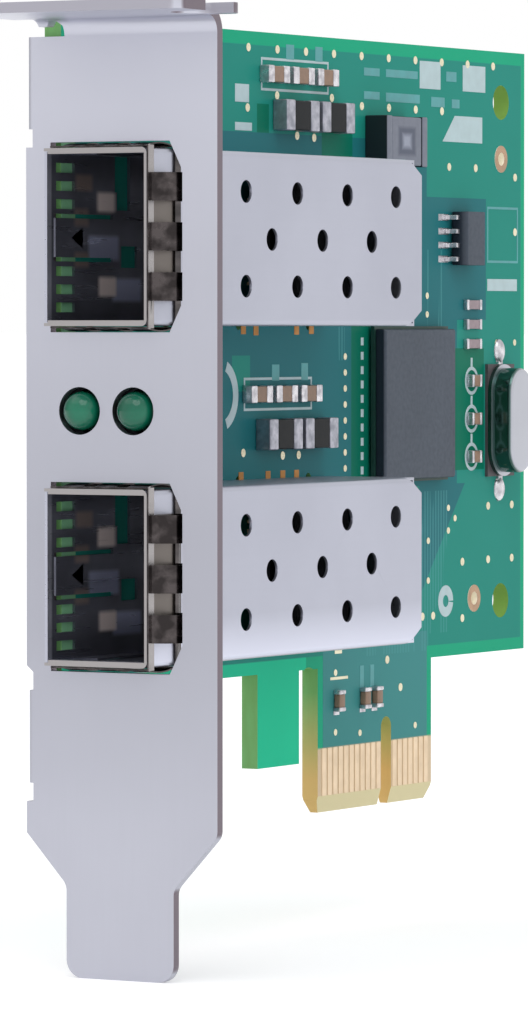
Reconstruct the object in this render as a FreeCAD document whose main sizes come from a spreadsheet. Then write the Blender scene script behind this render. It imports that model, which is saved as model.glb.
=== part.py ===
import FreeCAD, Part
import math
import os
import Sketcher

# Low-profile x1 network interface card with two small-form-factor pluggable cages.
#
# Card coordinates, in millimetres, used while each piece is drawn:
#   x  across the bracket, from its edge on the solder side
#   y  into the computer, from the bracket's outer face
#   z  up, from the end of the bracket's tail
# Every piece is then placed so that the row's origin is the card-edge datum: the middle of the key
# slot, at the tips of the edge contacts, in the middle of the board's thickness.

SIZES = [
    # bracket, a folded steel sheet
    ("bracket_width", 18.42), ("bracket_height", 79.20), ("sheet", 0.86), ("bend_radius", 1.35),
    ("edge_inset", 0.30), ("tail_width", 10.19), ("taper_top", 12.05), ("taper_base", 7.60),
    ("tail_corner", 1.50), ("taper_round", 1.20),
    ("tab_width", 21.59), ("tab_depth", 11.43), ("tab_round", 1.10),
    ("notch_width", 4.42), ("notch_offset", 5.08), ("notch_depth", 4.20),
    ("wing_start", 1.70), ("wing_drop", 0.80), ("relief_start", 2.55), ("relief_width", 1.45),
    ("relief_corner", 0.40), ("relief_top_gap", 0.10),
    ("ear_set_back", 0.32), ("ear_depth", 10.40), ("ear_round", 0.60), ("ear_cage_gap", 1.62),
    ("lower_ear_gap", 2.14), ("lower_ear_drop", 0.96), ("ear_slit", 1.50), ("slit_edge", 0.93),
    ("slit_slope", 0.55),
    ("port_height_gap", 0.50), ("port_face_gap", 0.10), ("port_finger_room", 2.65),
    ("port_corner_across", 1.20), ("port_corner_up", 2.40),
    ("indicator_rise", 2.65), ("indicator_pitch", 5.08), ("indicator_drop", 14.17),
    ("indicator_hole_gap", 0.35),
    # board
    ("board_thickness", 1.57), ("board_front_gap", 0.64), ("board_rear", 84.20),
    ("board_top_gap", 0.40), ("board_bottom", 23.10), ("tip_height", 10.30),
    ("lug_rear", 11.60), ("lug_bottom", 16.80),
    ("leg_front", 33.90), ("leg_rear", 41.25), ("leg_bottom", 14.90),
    ("contact_start", 44.60), ("long_tongue", 11.65), ("key_width", 1.90), ("short_tongue", 7.65),
    ("key_depth", 7.90), ("tongue_corner", 0.70), ("tongue_lead", 1.12), ("gap_lift", 0.20),
    ("bevel_height", 1.50), ("bevel_depth", 0.42),
    ("pad_width", 0.72), ("pad_pitch", 1.00), ("pad_margin", 1.10), ("pad_top", 16.00),
    ("pad_thickness", 0.05),
    ("tooling_hole", 3.20), ("tooling_inset", 4.75), ("tooling_rise", 4.70),
    ("plated_hole", 1.20), ("plated_barrel", 1.96), ("plated_rim", 2.50), ("plated_gap", 0.02),
    ("plated_step_up", 5.25), ("plated_step_along", 5.30), ("plated_lift", 0.40),
    # bracket screws
    ("screw_setback", 6.20), ("screw_shank", 2.90), ("screw_hole_gap", 0.15), ("thread_gap", 0.04),
    ("screw_head", 5.40), ("screw_head_height", 1.70), ("screw_dome", 0.55), ("screw_crown", 1.82),
    ("screw_recess", 2.60), ("screw_recess_width", 0.60), ("screw_tip", 0.28),
    # cages
    ("port_drop", 18.60), ("port_pitch", 27.75),
    ("cage_width", 14.50), ("cage_height", 9.75), ("cage_proud", 1.20), ("cage_length", 47.00),
    ("cage_wall", 0.25), ("cage_fold", 0.50), ("cage_notch_along", 2.30), ("cage_notch_across", 1.35),
    ("vent_hole", 1.90), ("vent_rows", 3.93), ("vent_pitch", 8.70), ("vent_start", 16.20),
    ("catch_width", 3.20), ("catch_height", 1.10), ("catch_rise", 1.00),
    ("pin_width", 0.60), ("pin_length", 2.30), ("pin_hole", 0.95), ("pin_start", 7.20),
    ("pin_pitch", 12.30),
    ("hem_sheet", 0.22), ("hem_length", 1.20), ("hem_rise", 0.35),
    ("base_setback", 0.10), ("base_rear_gap", 16.10), ("base_gap", 0.05), ("flap_height", 2.60),
    ("flap_sheet", 0.16), ("flap_length", 8.00), ("flap_start", 4.00), ("flap_pitch", 12.00),
    ("latch_start", 1.00), ("latch_width", 3.20), ("latch_length", 9.40), ("latch_slit", 0.35),
    ("latch_hole_start", 2.80), ("latch_hole", 1.80),
    ("window_start", 1.40), ("window_edge", 0.40), ("window_width", 0.80), ("window_length", 2.90),
    ("window_pitch", 1.48), ("wide_window_start", 10.70), ("wide_window_width", 4.50),
    ("wide_window_length", 2.40), ("deep_window_start", 11.70), ("deep_window_edge", 0.60),
    ("deep_window_width", 1.80), ("deep_window_length", 2.60),
    ("tab_strip_start", 7.80), ("tab_strip_length", 3.00), ("tab_strip_width", 1.70),
    ("tab_strip_rise", 0.15), ("tab_strip_high", 3.00), ("tab_strip_low", 4.00),
    ("collar_sheet", 0.12), ("collar_length", 5.20), ("collar_band", 0.90), ("collar_gap", 0.05),
    ("collar_foot", 0.60), ("finger_width", 2.30), ("finger_pitch", 4.05), ("finger_clearance", 0.20),
    ("side_finger_width", 1.90), ("side_finger_pitch", 3.10), ("side_finger_clearance", 0.04),
    ("side_finger_inset", 1.80),
    # host connectors inside the cages
    ("host_setback", 14.60), ("host_depth", 9.20), ("host_width", 11.90), ("host_height", 5.40),
    ("host_nose", 2.20), ("host_nose_lift", 1.40), ("host_nose_inset", 0.50),
    ("host_slot_height", 1.30), ("host_slot_width", 9.60), ("host_slot_depth", 5.60),
    ("host_slot_level", 2.80), ("host_pin_pitch", 0.80), ("host_pin_width", 0.32),
    ("host_pin_sheet", 0.20), ("host_foot_length", 1.30), ("host_riser", 1.30), ("host_gap", 0.02),
    # indicator
    ("lens_radius", 1.60), ("lens_proud", 1.05), ("lens_flange", 0.20), ("lens_flange_length", 0.80),
    ("lens_gap", 0.05), ("holder_setback", 0.74), ("holder_depth", 5.20), ("socket_depth", 3.40),
    ("lens_depth", 3.20), ("holder_width", 5.00), ("holder_margin", 2.50), ("holder_slope", 2.20),
    ("lead_width", 0.45), ("lead_half_pitch", 1.27), ("lead_gap", 0.05), ("lead_near", 1.20),
    ("lead_far", 3.74),
    # controller
    ("controller_side", 14.00), ("controller_behind", 15.00), ("controller_drop", 14.28),
    ("controller_stand", 0.30), ("controller_base", 0.36), ("controller_cap", 1.00),
    ("controller_step", 0.25), ("controller_edge", 0.20), ("ball_size", 0.60), ("ball_pitch", 1.27),
    # flash memory
    ("memory_behind", 25.55), ("memory_rise", 0.77), ("memory_width", 3.90), ("memory_length", 4.90),
    ("memory_thickness", 1.50), ("memory_stand", 0.15), ("memory_span", 6.00), ("memory_lead", 0.42),
    ("memory_pitch", 1.27), ("memory_draft", 0.12), ("memory_chamfer", 0.35), ("lead_sheet", 0.20),
    ("lead_knee", 0.35),
    # power inductor
    ("inductor_behind", 11.20), ("inductor_rise", 9.30), ("inductor_length", 7.60),
    ("inductor_width", 4.50), ("inductor_thickness", 2.30), ("inductor_end", 1.00),
    # port filter chokes
    ("choke_length", 5.80), ("choke_width", 2.70), ("choke_thickness", 1.50), ("choke_end", 1.50),
    ("choke_offset", 3.85), ("choke_ahead", 6.35), ("choke_pitch", 6.40), ("row_back", 3.00),
    # crystal
    ("crystal_inset", 5.20), ("crystal_drop", 16.00), ("crystal_width", 4.60),
    ("crystal_length", 9.70), ("crystal_thickness", 2.30), ("crystal_rim", 0.35),
    ("crystal_seat", 0.30), ("crystal_round", 0.45), ("crystal_lead_width", 0.80),
    ("crystal_lead_length", 1.20), ("crystal_lead_sheet", 0.25),
    # chip capacitors and resistors
    ("filter_length", 3.70), ("filter_width", 1.50), ("filter_thickness", 1.00),
    ("filter_end", 1.00), ("filter_offset", 7.35), ("filter_ahead", 9.70), ("filter_pitch", 4.40),
    ("chip_length", 1.90), ("chip_width", 1.15), ("chip_thickness", 0.70), ("chip_end", 0.38),
    ("chip_skin", 0.06), ("core_inset", 10.55), ("core_pitch", 3.50), ("core_drop", 12.30),
    ("strap_length", 2.90), ("strap_width", 0.95), ("strap_thickness", 0.45),
    ("strap_inset", 10.70), ("strap_pitch", 1.80), ("strap_drop", 5.30),
    ("lane_lift", 4.10), ("lane_first", 3.40), ("lane_pitch", 2.20), ("lane_gap", 4.80),
]

document = FreeCAD.newDocument("NetworkCard")
sheet = document.addObject("Spreadsheet::Sheet", "Sizes")
for row, (alias, value) in enumerate(SIZES, start=1):
    sheet.set("A%d" % row, alias)
    sheet.set("B%d" % row, "%g" % value)
    sheet.setAlias("B%d" % row, alias)
document.recompute()


class Size:
    """A length that carries its number and the sheet expression it is worked out from."""

    def __init__(self, text, number):
        self.text = text
        self.number = float(number)

    def _join(self, sign, other, number):
        return Size("(%s %s %s)" % (self.text, sign, sized(other).text), number)

    def __add__(self, other):
        return self._join("+", other, self.number + sized(other).number)

    def __sub__(self, other):
        return self._join("-", other, self.number - sized(other).number)

    def __mul__(self, other):
        return self._join("*", other, self.number * sized(other).number)

    def __truediv__(self, other):
        return self._join("/", other, self.number / sized(other).number)

    def __radd__(self, other):
        return sized(other) + self

    def __rsub__(self, other):
        return sized(other) - self

    def __rmul__(self, other):
        return sized(other) * self

    def __neg__(self):
        return sized(0) - self


def sized(value):
    if isinstance(value, Size):
        return value
    return Size("%.6g" % value, value)


def size(alias):
    return Size("Sizes." + alias, sheet.get(alias))


def bind(target, prop, value):
    target.setExpression(prop, sized(value).text)


# Places that several pieces share: across the bracket, then into the card, then up
SHEET = size("sheet")
EAR_OUTER = size("ear_set_back")
BACK = EAR_OUTER + SHEET
FACE = BACK + size("board_thickness")
CAGE_TOP = FACE + size("cage_height")
BOARD_FRONT = SHEET + size("board_front_gap")
BOARD_REAR = size("board_rear")
KEY_FRONT = size("contact_start") + size("long_tongue")
KEY_REAR = KEY_FRONT + size("key_width")
CONTACT_END = KEY_REAR + size("short_tongue")
CAGE_FRONT = -size("cage_proud")
CAGE_REAR = size("cage_length") - size("cage_proud")
TIP = size("tip_height")
TAB_UNDER = size("bracket_height") - SHEET
BEND_START = TAB_UNDER - size("bend_radius")
BOARD_TOP = size("bracket_height") - size("board_top_gap")
CAGE_HALF = size("cage_width") / 2
PORT_HIGH = size("bracket_height") - size("port_drop")
PORT_CENTRES = {"upper": PORT_HIGH, "lower": PORT_HIGH - size("port_pitch")}
INDICATOR_LEVEL = PORT_HIGH - size("indicator_drop")
UPPER_EAR = (PORT_HIGH + CAGE_HALF + size("ear_cage_gap"), BEND_START)
LOWER_EAR = (size("lug_bottom") - size("lower_ear_drop"),
             PORT_CENTRES["lower"] - CAGE_HALF - size("lower_ear_gap"))
SCREW_LEVELS = [(low + high) / 2 for low, high in (UPPER_EAR, LOWER_EAR)]
ORIGIN = (FACE - size("board_thickness") / 2, (KEY_FRONT + KEY_REAR) / 2, TIP)
ROW_BACKS = {"upper": sized(0), "lower": size("row_back")}
OVERRUN = 1
CLOSE = 0.001
PINS_A_SIDE = 4
LONG_TONGUE_PADS = 11
SHORT_TONGUE_PADS = 7
FINGERS_A_SIDE = 3
HOST_PINS = 10
MEMORY_LEADS = 4
BALL_SIDES = 6
pieces = []


def place(piece, label):
    """Names a finished piece and puts it in the row's frame."""
    piece.Label = label
    for axis, datum in zip("xyz", ORIGIN):
        bind(piece, "Placement.Base." + axis, -datum)
    pieces.append(piece)
    return piece


# ---------------------------------------------------------------- primitives

def box(low, extent):
    item = document.addObject("Part::Box", "Block")
    for prop, length in zip(("Length", "Width", "Height"), extent):
        bind(item, prop, length)
    for axis, corner in zip("xyz", low):
        bind(item, "Placement.Base." + axis, corner)
    return item


TURNS = {
    "x": FreeCAD.Rotation(FreeCAD.Vector(0, 1, 0), 90),
    "y": FreeCAD.Rotation(FreeCAD.Vector(1, 0, 0), -90),
    "z": FreeCAD.Rotation(),
}


def cylinder(axis, start, radius, length):
    item = document.addObject("Part::Cylinder", "Round")
    bind(item, "Radius", radius)
    bind(item, "Height", length)
    item.Placement = FreeCAD.Placement(FreeCAD.Vector(), TURNS[axis])
    for name, corner in zip("xyz", start):
        bind(item, "Placement.Base." + name, corner)
    return item


def cone(axis, start, foot, top, length):
    item = document.addObject("Part::Cone", "Taper")
    bind(item, "Radius1", foot)
    bind(item, "Radius2", top)
    bind(item, "Height", length)
    item.Placement = FreeCAD.Placement(FreeCAD.Vector(), TURNS[axis])
    for name, corner in zip("xyz", start):
        bind(item, "Placement.Base." + name, corner)
    return item


def prism(start, radius, length, sides):
    """A many-sided column along x."""
    item = document.addObject("Part::Prism", "Column")
    item.Polygon = sides
    bind(item, "Circumradius", radius)
    bind(item, "Height", length)
    item.Placement = FreeCAD.Placement(FreeCAD.Vector(), TURNS["x"])
    for name, corner in zip("xyz", start):
        bind(item, "Placement.Base." + name, corner)
    return item


def group(label, members):
    """One node that holds several separate solids."""
    item = document.addObject("Part::Compound", label)
    item.Links = members
    return place(item, label)


def fused(members):
    item = document.addObject("Part::MultiFuse", "Joined")
    item.Shapes = members
    return item


def cut(base, tool):
    item = document.addObject("Part::Cut", "Cut")
    item.Base = base
    item.Tool = tool
    return item


# ---------------------------------------------------------------- part design

class Solid:
    """A PartDesign body with helpers for its sketches and features."""

    def __init__(self, label):
        self.body = document.addObject("PartDesign::Body", label)
        self.label = label

    def sketch(self, plane, offset=0):
        drawing = self.body.newObject("Sketcher::SketchObject", "Sketch")
        for item in self.body.Origin.OriginFeatures:
            if item.Role == plane:
                drawing.AttachmentSupport = [(item, "")]
        drawing.MapMode = "FlatFace"
        bind(drawing, "AttachmentOffset.Base.z", offset)
        return drawing

    def feature(self, kind, drawing, length, away=False):
        item = self.body.newObject("PartDesign::" + kind, kind)
        item.Profile = drawing
        bind(item, "Length", length)
        item.Reversed = away
        self.body.Tip = item
        return item

    def pad(self, drawing, length, away=False):
        return self.feature("Pad", drawing, length, away)

    def pocket(self, drawing, length, away=False):
        document.recompute()
        before = self.body.Tip.Shape.Volume
        item = self.feature("Pocket", drawing, length, away)
        document.recompute()
        if item.Shape.Volume > before - 1e-6:
            raise RuntimeError("a pocket in %s removes nothing" % self.label)
        return item

    def repeat(self, feature, drawing, count, pitch):
        """Repeats a feature along the normal of its own sketch."""
        item = self.body.newObject("PartDesign::LinearPattern", "Repeat")
        item.Originals = [feature]
        item.Direction = (drawing, ["N_Axis"])
        item.Occurrences = count
        bind(item, "Length", pitch * (count - 1))
        self.body.Tip = item
        return item

    def edge_feature(self, kind, prop, value, wanted):
        """Treats the edges of the body so far for which wanted holds."""
        document.recompute()
        base = self.body.Tip
        names = ["Edge%d" % number for number, edge in enumerate(base.Shape.Edges, start=1)
                 if wanted(edge)]
        if not names:
            raise RuntimeError("a %s in %s finds no edge" % (kind, self.label))
        item = self.body.newObject("PartDesign::" + kind, kind)
        item.Base = (base, names)
        bind(item, prop, value)
        self.body.Tip = item
        return item

    def fillet(self, radius, wanted):
        return self.edge_feature("Fillet", "Radius", radius, wanted)

    def chamfer(self, width, wanted):
        return self.edge_feature("Chamfer", "Size", width, wanted)

    def done(self):
        return place(self.body, self.label)


def straight_along(edge, along, **fixed):
    """True for a straight edge that runs along one axis and lies at the given coordinates."""
    if len(edge.Vertexes) != 2 or edge.Curve.TypeId != "Part::GeomLine":
        return False
    start, end = [vertex.Point for vertex in edge.Vertexes]
    level = all(abs(getattr(start, axis) - getattr(end, axis)) < CLOSE
                for axis in "xyz" if axis != along)
    return level and all(abs(getattr(start, axis) - sized(value).number) < CLOSE
                         for axis, value in fixed.items())


def lies_on_top(edge, level):
    """True for an edge that lies wholly at one height above the board."""
    box_round = edge.BoundBox
    return abs(box_round.XMin - level.number) < CLOSE and abs(box_round.XMax - level.number) < CLOSE


def fix(drawing, geometry, point, across=None, up=None):
    """Fixes one point of a sketch by one or both of its distances from the sketch's origin."""
    for kind, value in (("DistanceX", across), ("DistanceY", up)):
        if value is None:
            continue
        number = sized(value).number
        index = drawing.addConstraint(Sketcher.Constraint(kind, -1, 1, geometry, point, number))
        bind(drawing, "Constraints[%d]" % index, value)


def vector(across, up):
    return FreeCAD.Vector(sized(across).number, sized(up).number, 0)


def outline(drawing, points):
    """A closed outline of straight lines through the given points."""
    first = drawing.GeometryCount
    count = len(points)
    for index in range(count):
        start = points[index]
        end = points[(index + 1) % count]
        drawing.addGeometry(Part.LineSegment(vector(*start), vector(*end)), False)
    for index in range(count):
        following = first + (index + 1) % count
        drawing.addConstraint(Sketcher.Constraint("Coincident", first + index, 2, following, 1))
    for index, (across, up) in enumerate(points):
        fix(drawing, first + index, 1, across, up)


def rectangle(drawing, low, high):
    outline(drawing, [low, (high[0], low[1]), high, (low[0], high[1])])


def circle(drawing, centre, radius):
    normal = FreeCAD.Vector(0, 0, 1)
    ring = Part.Circle(vector(*centre), normal, sized(radius).number)
    index = drawing.addGeometry(ring, False)
    fix(drawing, index, 3, *centre)
    limit = drawing.addConstraint(Sketcher.Constraint("Radius", index, sized(radius).number))
    bind(drawing, "Constraints[%d]" % limit, radius)


def round_slot(drawing, centre, foot, width):
    """A slot that runs up from foot to a half-round end about centre."""
    middle, top = centre
    half = sized(width / 2)
    left = middle - half
    right = middle + half
    first = drawing.GeometryCount
    arc = Part.ArcOfCircle(Part.Circle(vector(middle, top), FreeCAD.Vector(0, 0, 1), half.number),
                           0, math.pi)
    drawing.addGeometry(arc, False)
    drawing.addGeometry(Part.LineSegment(vector(left, top), vector(left, foot)), False)
    drawing.addGeometry(Part.LineSegment(vector(left, foot), vector(right, foot)), False)
    drawing.addGeometry(Part.LineSegment(vector(right, foot), vector(right, top)), False)
    for index in range(4):
        following = first + (index + 1) % 4
        end = 2
        drawing.addConstraint(Sketcher.Constraint("Coincident", first + index, end, following, 1))
    fix(drawing, first, 3, middle, top)
    fix(drawing, first + 1, 1, left, top)
    fix(drawing, first + 1, 2, left, foot)
    fix(drawing, first + 2, 2, right, foot)
    fix(drawing, first + 3, 2, up=top)


# ---------------------------------------------------------------- bracket

def make_bracket():
    solid = Solid("bracket")
    width = size("bracket_width")
    tail_left = (width - size("tail_width")) / 2
    tail_right = width - tail_left
    taper_base = size("taper_base")
    taper_top = size("taper_top")
    slit = size("ear_slit")
    left = size("edge_inset")
    slit_edge = size("slit_edge")

    plate = solid.sketch("XZ_Plane")
    outline(plate, [
        (tail_left, 0), (tail_right, 0), (tail_right, taper_base), (width, taper_top),
        (width, BEND_START), (EAR_OUTER, BEND_START), (EAR_OUTER, UPPER_EAR[0]),
        (slit_edge, UPPER_EAR[0]), (slit_edge, UPPER_EAR[0] - slit), (left, UPPER_EAR[0] - slit),
        (left, LOWER_EAR[1] + slit + size("slit_slope")), (slit_edge, LOWER_EAR[1] + slit),
        (slit_edge, LOWER_EAR[1]), (EAR_OUTER, LOWER_EAR[1]), (EAR_OUTER, LOWER_EAR[0]),
        (slit_edge, LOWER_EAR[0]), (slit_edge, LOWER_EAR[0] - slit), (left, LOWER_EAR[0] - slit),
        (left, taper_top - left), (tail_left, taper_base),
    ])
    solid.pad(plate, SHEET, away=True)
    solid.fillet(size("tail_corner"), lambda edge: straight_along(edge, "y", z=0))
    solid.fillet(size("taper_round"), lambda edge: straight_along(edge, "y", z=taper_base)
                 or straight_along(edge, "y", z=taper_top))

    # The bend from the plate out to the tab, with a relief slot at the solder side
    inner = size("bend_radius")
    outer = inner + SHEET
    bend = solid.sketch("YZ_Plane", size("wing_start"))
    bend_profile(bend, inner, outer)
    solid.pad(bend, width - size("wing_start"))
    relief = solid.sketch("XZ_Plane", inner)
    slot_left = size("relief_start")
    slot_right = slot_left + size("relief_width")
    corner = size("relief_corner")
    slot_top = TAB_UNDER - size("relief_top_gap")
    wing = BEND_START + size("wing_drop")
    outline(relief, [
        (size("wing_start") - OVERRUN, BEND_START), (slot_right, BEND_START),
        (slot_right, slot_top - corner), (slot_right - corner, slot_top),
        (slot_left + corner, slot_top), (slot_left, slot_top - corner), (slot_left, wing),
        (size("wing_start") - OVERRUN, wing),
    ])
    solid.pocket(relief, inner + SHEET)

    # The tab, with its screw notch open at the component side
    tab = solid.sketch("XY_Plane", TAB_UNDER)
    rectangle(tab, (0, -size("tab_depth")), (size("tab_width"), -inner))
    solid.pad(tab, SHEET)
    solid.fillet(size("tab_round"), lambda edge: straight_along(edge, "z", x=size("tab_width")))
    notch = solid.sketch("XY_Plane", TAB_UNDER)
    screw_notch(notch)
    solid.pocket(notch, SHEET, away=True)

    # Ears folded back along the solder side of the board
    for low, high in (UPPER_EAR, LOWER_EAR):
        ear = solid.sketch("YZ_Plane", EAR_OUTER)
        rectangle(ear, (0, low), (size("ear_depth"), high))
        solid.pad(ear, SHEET)
    levels = [level.number for level in SCREW_LEVELS]
    solid.fillet(size("ear_round"), lambda edge: straight_along(edge, "z", x=EAR_OUTER, y=0)
                 and min(abs(edge.CenterOfMass.z - level) for level in levels) < 1)

    # Port openings, indicator holes and tapped holes
    openings = solid.sketch("XZ_Plane")
    for middle in PORT_CENTRES.values():
        port_opening(openings, middle)
    for across in INDICATOR_PLACES.values():
        circle(openings, (across, INDICATOR_LEVEL), size("lens_radius") + size("indicator_hole_gap"))
    solid.pocket(openings, SHEET)
    tapped = solid.sketch("YZ_Plane", EAR_OUTER)
    for level in SCREW_LEVELS:
        circle(tapped, (size("screw_setback"), level), size("screw_shank") / 2 + size("thread_gap"))
    solid.pocket(tapped, SHEET, away=True)
    return solid.done()


def bend_profile(drawing, inner, outer):
    """A quarter turn of the sheet, from the top of the plate to the start of the tab."""
    middle = vector(-inner, BEND_START)
    normal = FreeCAD.Vector(0, 0, 1)
    for radius in (inner, outer):
        arc = Part.ArcOfCircle(Part.Circle(middle, normal, radius.number), 0, math.pi / 2)
        drawing.addGeometry(arc, False)
    drawing.addGeometry(Part.LineSegment(vector(0, BEND_START), vector(SHEET, BEND_START)), False)
    drawing.addGeometry(Part.LineSegment(vector(-inner, TAB_UNDER),
                                         vector(-inner, TAB_UNDER + SHEET)), False)
    for index, radius in enumerate((inner, outer)):
        fix(drawing, index, 3, -inner, BEND_START)
        drawing.addConstraint(Sketcher.Constraint("Coincident", index, 1, 2, index + 1))
        drawing.addConstraint(Sketcher.Constraint("Coincident", index, 2, 3, index + 1))
        fix(drawing, 2, index + 1, radius - inner, BEND_START)
        fix(drawing, 3, index + 1, across=-inner)


def port_opening(drawing, middle):
    half = CAGE_HALF + size("port_height_gap")
    left = FACE - size("port_face_gap")
    right = CAGE_TOP + size("port_finger_room")
    across = size("port_corner_across")
    up = size("port_corner_up")
    outline(drawing, [
        (left, middle - half), (right - across, middle - half), (right, middle - half + up),
        (right, middle + half - up), (right - across, middle + half), (left, middle + half),
    ])


def screw_notch(drawing):
    """A half-round notch cut in from the end of the tab."""
    half = size("notch_width") / 2
    middle = -size("notch_offset")
    end = size("tab_width")
    centre = end - size("notch_depth") + half
    low = middle - half
    high = middle + half
    ring = Part.Circle(vector(centre, middle), FreeCAD.Vector(0, 0, 1), half.number)
    drawing.addGeometry(Part.ArcOfCircle(ring, math.pi / 2, 1.5 * math.pi), False)
    drawing.addGeometry(Part.LineSegment(vector(centre, low), vector(end, low)), False)
    drawing.addGeometry(Part.LineSegment(vector(end, low), vector(end, high)), False)
    drawing.addGeometry(Part.LineSegment(vector(end, high), vector(centre, high)), False)
    for index in range(4):
        drawing.addConstraint(Sketcher.Constraint("Coincident", index, 2, (index + 1) % 4, 1))
    fix(drawing, 0, 3, centre, middle)
    fix(drawing, 1, 1, centre, low)
    fix(drawing, 1, 2, end, low)
    fix(drawing, 2, 2, end, high)
    fix(drawing, 3, 2, across=centre)


def make_screws():
    """Domed cross-recess screws that hold the ears to the board."""
    screws = []
    head = size("screw_head_height")
    dome = size("screw_dome")
    recess = size("screw_recess")
    slot = size("screw_recess_width")
    along = size("screw_setback")
    for level in SCREW_LEVELS:
        tip = EAR_OUTER - size("screw_tip")
        shank = cylinder("x", (tip, along, level), size("screw_shank") / 2, FACE - tip + dome)
        collar = cylinder("x", (FACE, along, level), size("screw_head") / 2, head - dome)
        crown = cone("x", (FACE + head - dome, along, level), size("screw_head") / 2,
                     size("screw_crown"), dome)
        arms = []
        for wide, tall in ((recess, slot), (slot, recess)):
            arms.append(box((FACE + head / 2, along - wide / 2, level - tall / 2), (head, wide, tall)))
        screws.append(cut(fused([shank, collar, crown]), fused(arms)))
    return group("bracket_screws", screws)


# ---------------------------------------------------------------- board

def cage_pins():
    """Places of one cage's pins: distance into the card, and side of the cage."""
    start = CAGE_FRONT + size("pin_start")
    return [(start + number * size("pin_pitch"), side)
            for number in range(PINS_A_SIDE) for side in (-1, 1)]


TOOLING_ALONG = BOARD_REAR - size("tooling_inset")
TOOLING_LEVELS = (BOARD_TOP - size("tooling_rise"), size("board_bottom") + size("tooling_rise"))
PLATED_PLACES = (
    (TOOLING_ALONG, TOOLING_LEVELS[0] - size("plated_step_up")),
    (TOOLING_ALONG - size("plated_step_along"), TOOLING_LEVELS[1] + size("plated_lift")),
)
INDICATOR_PLACES = {
    "near": FACE + size("indicator_rise"),
    "far": FACE + size("indicator_rise") + size("indicator_pitch"),
}
HOLDER_FRONT = SHEET + size("holder_setback")
HOLDER_REAR = HOLDER_FRONT + size("holder_depth")
LEAD_DROPS = {"near": HOLDER_REAR + size("lead_near"), "far": HOLDER_REAR + size("lead_far")}


def make_board():
    solid = Solid("board")
    start = size("contact_start")
    corner = size("tongue_corner")
    lead = size("tongue_lead")
    bottom = size("board_bottom")
    thickness = size("board_thickness")
    drawing = solid.sketch("YZ_Plane", BACK)
    outline(drawing, [
        (BOARD_FRONT, size("lug_bottom")), (size("lug_rear"), size("lug_bottom")),
        (size("lug_rear"), bottom), (size("leg_front"), bottom),
        (size("leg_front"), size("leg_bottom")), (size("leg_rear"), size("leg_bottom")),
        (size("leg_rear"), bottom), (start, bottom),
        (start, TIP + lead), (start + corner, TIP), (CONTACT_END - corner, TIP),
        (CONTACT_END, TIP + lead), (CONTACT_END, bottom),
        (BOARD_REAR, bottom), (BOARD_REAR, BOARD_TOP), (BOARD_FRONT, BOARD_TOP),
    ])
    solid.pad(drawing, thickness)

    # The rounded gap behind the leg, and the key slot
    slots = solid.sketch("YZ_Plane", BACK)
    leg_rear = size("leg_rear")
    gap = start - leg_rear
    round_slot(slots, ((leg_rear + start) / 2, bottom - gap / 2 + size("gap_lift")),
               bottom - gap, gap)
    key = size("key_width")
    round_slot(slots, (KEY_FRONT + key / 2, TIP + size("key_depth") - key / 2), TIP - OVERRUN, key)
    solid.pocket(slots, thickness, away=True)

    # Holes: bracket screws, tooling, plated, indicator leads and cage pins
    holes = solid.sketch("YZ_Plane", BACK)
    for level in SCREW_LEVELS:
        circle(holes, (size("screw_setback"), level), size("screw_shank") / 2 + size("screw_hole_gap"))
    for level in TOOLING_LEVELS:
        circle(holes, (TOOLING_ALONG, level), size("tooling_hole") / 2)
    for place_in, level in PLATED_PLACES:
        circle(holes, (place_in, level), size("plated_barrel") / 2 + size("plated_gap"))
    for drop in LEAD_DROPS.values():
        for side in (-1, 1):
            level = INDICATOR_LEVEL + side * size("lead_half_pitch")
            circle(holes, (drop + size("lead_width") / 2, level), size("pin_hole") / 2)
    for middle in PORT_CENTRES.values():
        for along, side in cage_pins():
            level = middle + side * (CAGE_HALF - size("cage_wall") / 2)
            circle(holes, (along, level), size("pin_hole") / 2)
    solid.pocket(holes, thickness, away=True)

    # Bevels that lead the contacts into their connector
    bevel = solid.sketch("XZ_Plane", -CONTACT_END - OVERRUN)
    depth = size("bevel_depth")
    for surface, inward in ((BACK, depth), (FACE, -depth)):
        outline(bevel, [(surface, TIP), (surface + inward, TIP), (surface, TIP + size("bevel_height"))])
    solid.pocket(bevel, CONTACT_END - start + OVERRUN * 2, away=True)
    return solid.done()


def make_edge_contacts(label, low):
    """The gold pads of one face, counted in from both ends of the tongue."""
    pitch = size("pad_pitch")
    first = size("contact_start") + size("pad_margin")
    last = CONTACT_END - size("pad_margin")
    places = [first + pitch * number for number in range(LONG_TONGUE_PADS)]
    places += [last - pitch * number for number in range(SHORT_TONGUE_PADS)]
    foot = TIP + size("bevel_height")
    width = size("pad_width")
    extent = (size("pad_thickness"), width, size("pad_top") - foot)
    return group(label, [box((low, along - width / 2, foot), extent) for along in places])


def make_plated_rims():
    """Each rim is a barrel through the board with a flat ring on both of its faces."""
    rims = []
    skin = size("pad_thickness")
    for along, level in PLATED_PLACES:
        length = size("board_thickness") + skin * 2
        barrel = cylinder("x", (BACK - skin, along, level), size("plated_barrel") / 2, length)
        rings = [cylinder("x", (side, along, level), size("plated_rim") / 2, skin)
                 for side in (BACK - skin, FACE)]
        bore = cylinder("x", (BACK - skin, along, level), size("plated_hole") / 2, length)
        rims.append(cut(fused([barrel] + rings), bore))
    return group("plated_hole_rims", rims)


# ---------------------------------------------------------------- cages

BASE_FRONT = CAGE_FRONT + size("base_setback")
FLAP_PLACES = [BASE_FRONT + size("flap_start") + size("flap_pitch") * number for number in range(2)]
VENT_ROWS = ((-1, 4), (0, 3), (1, 4))


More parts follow.
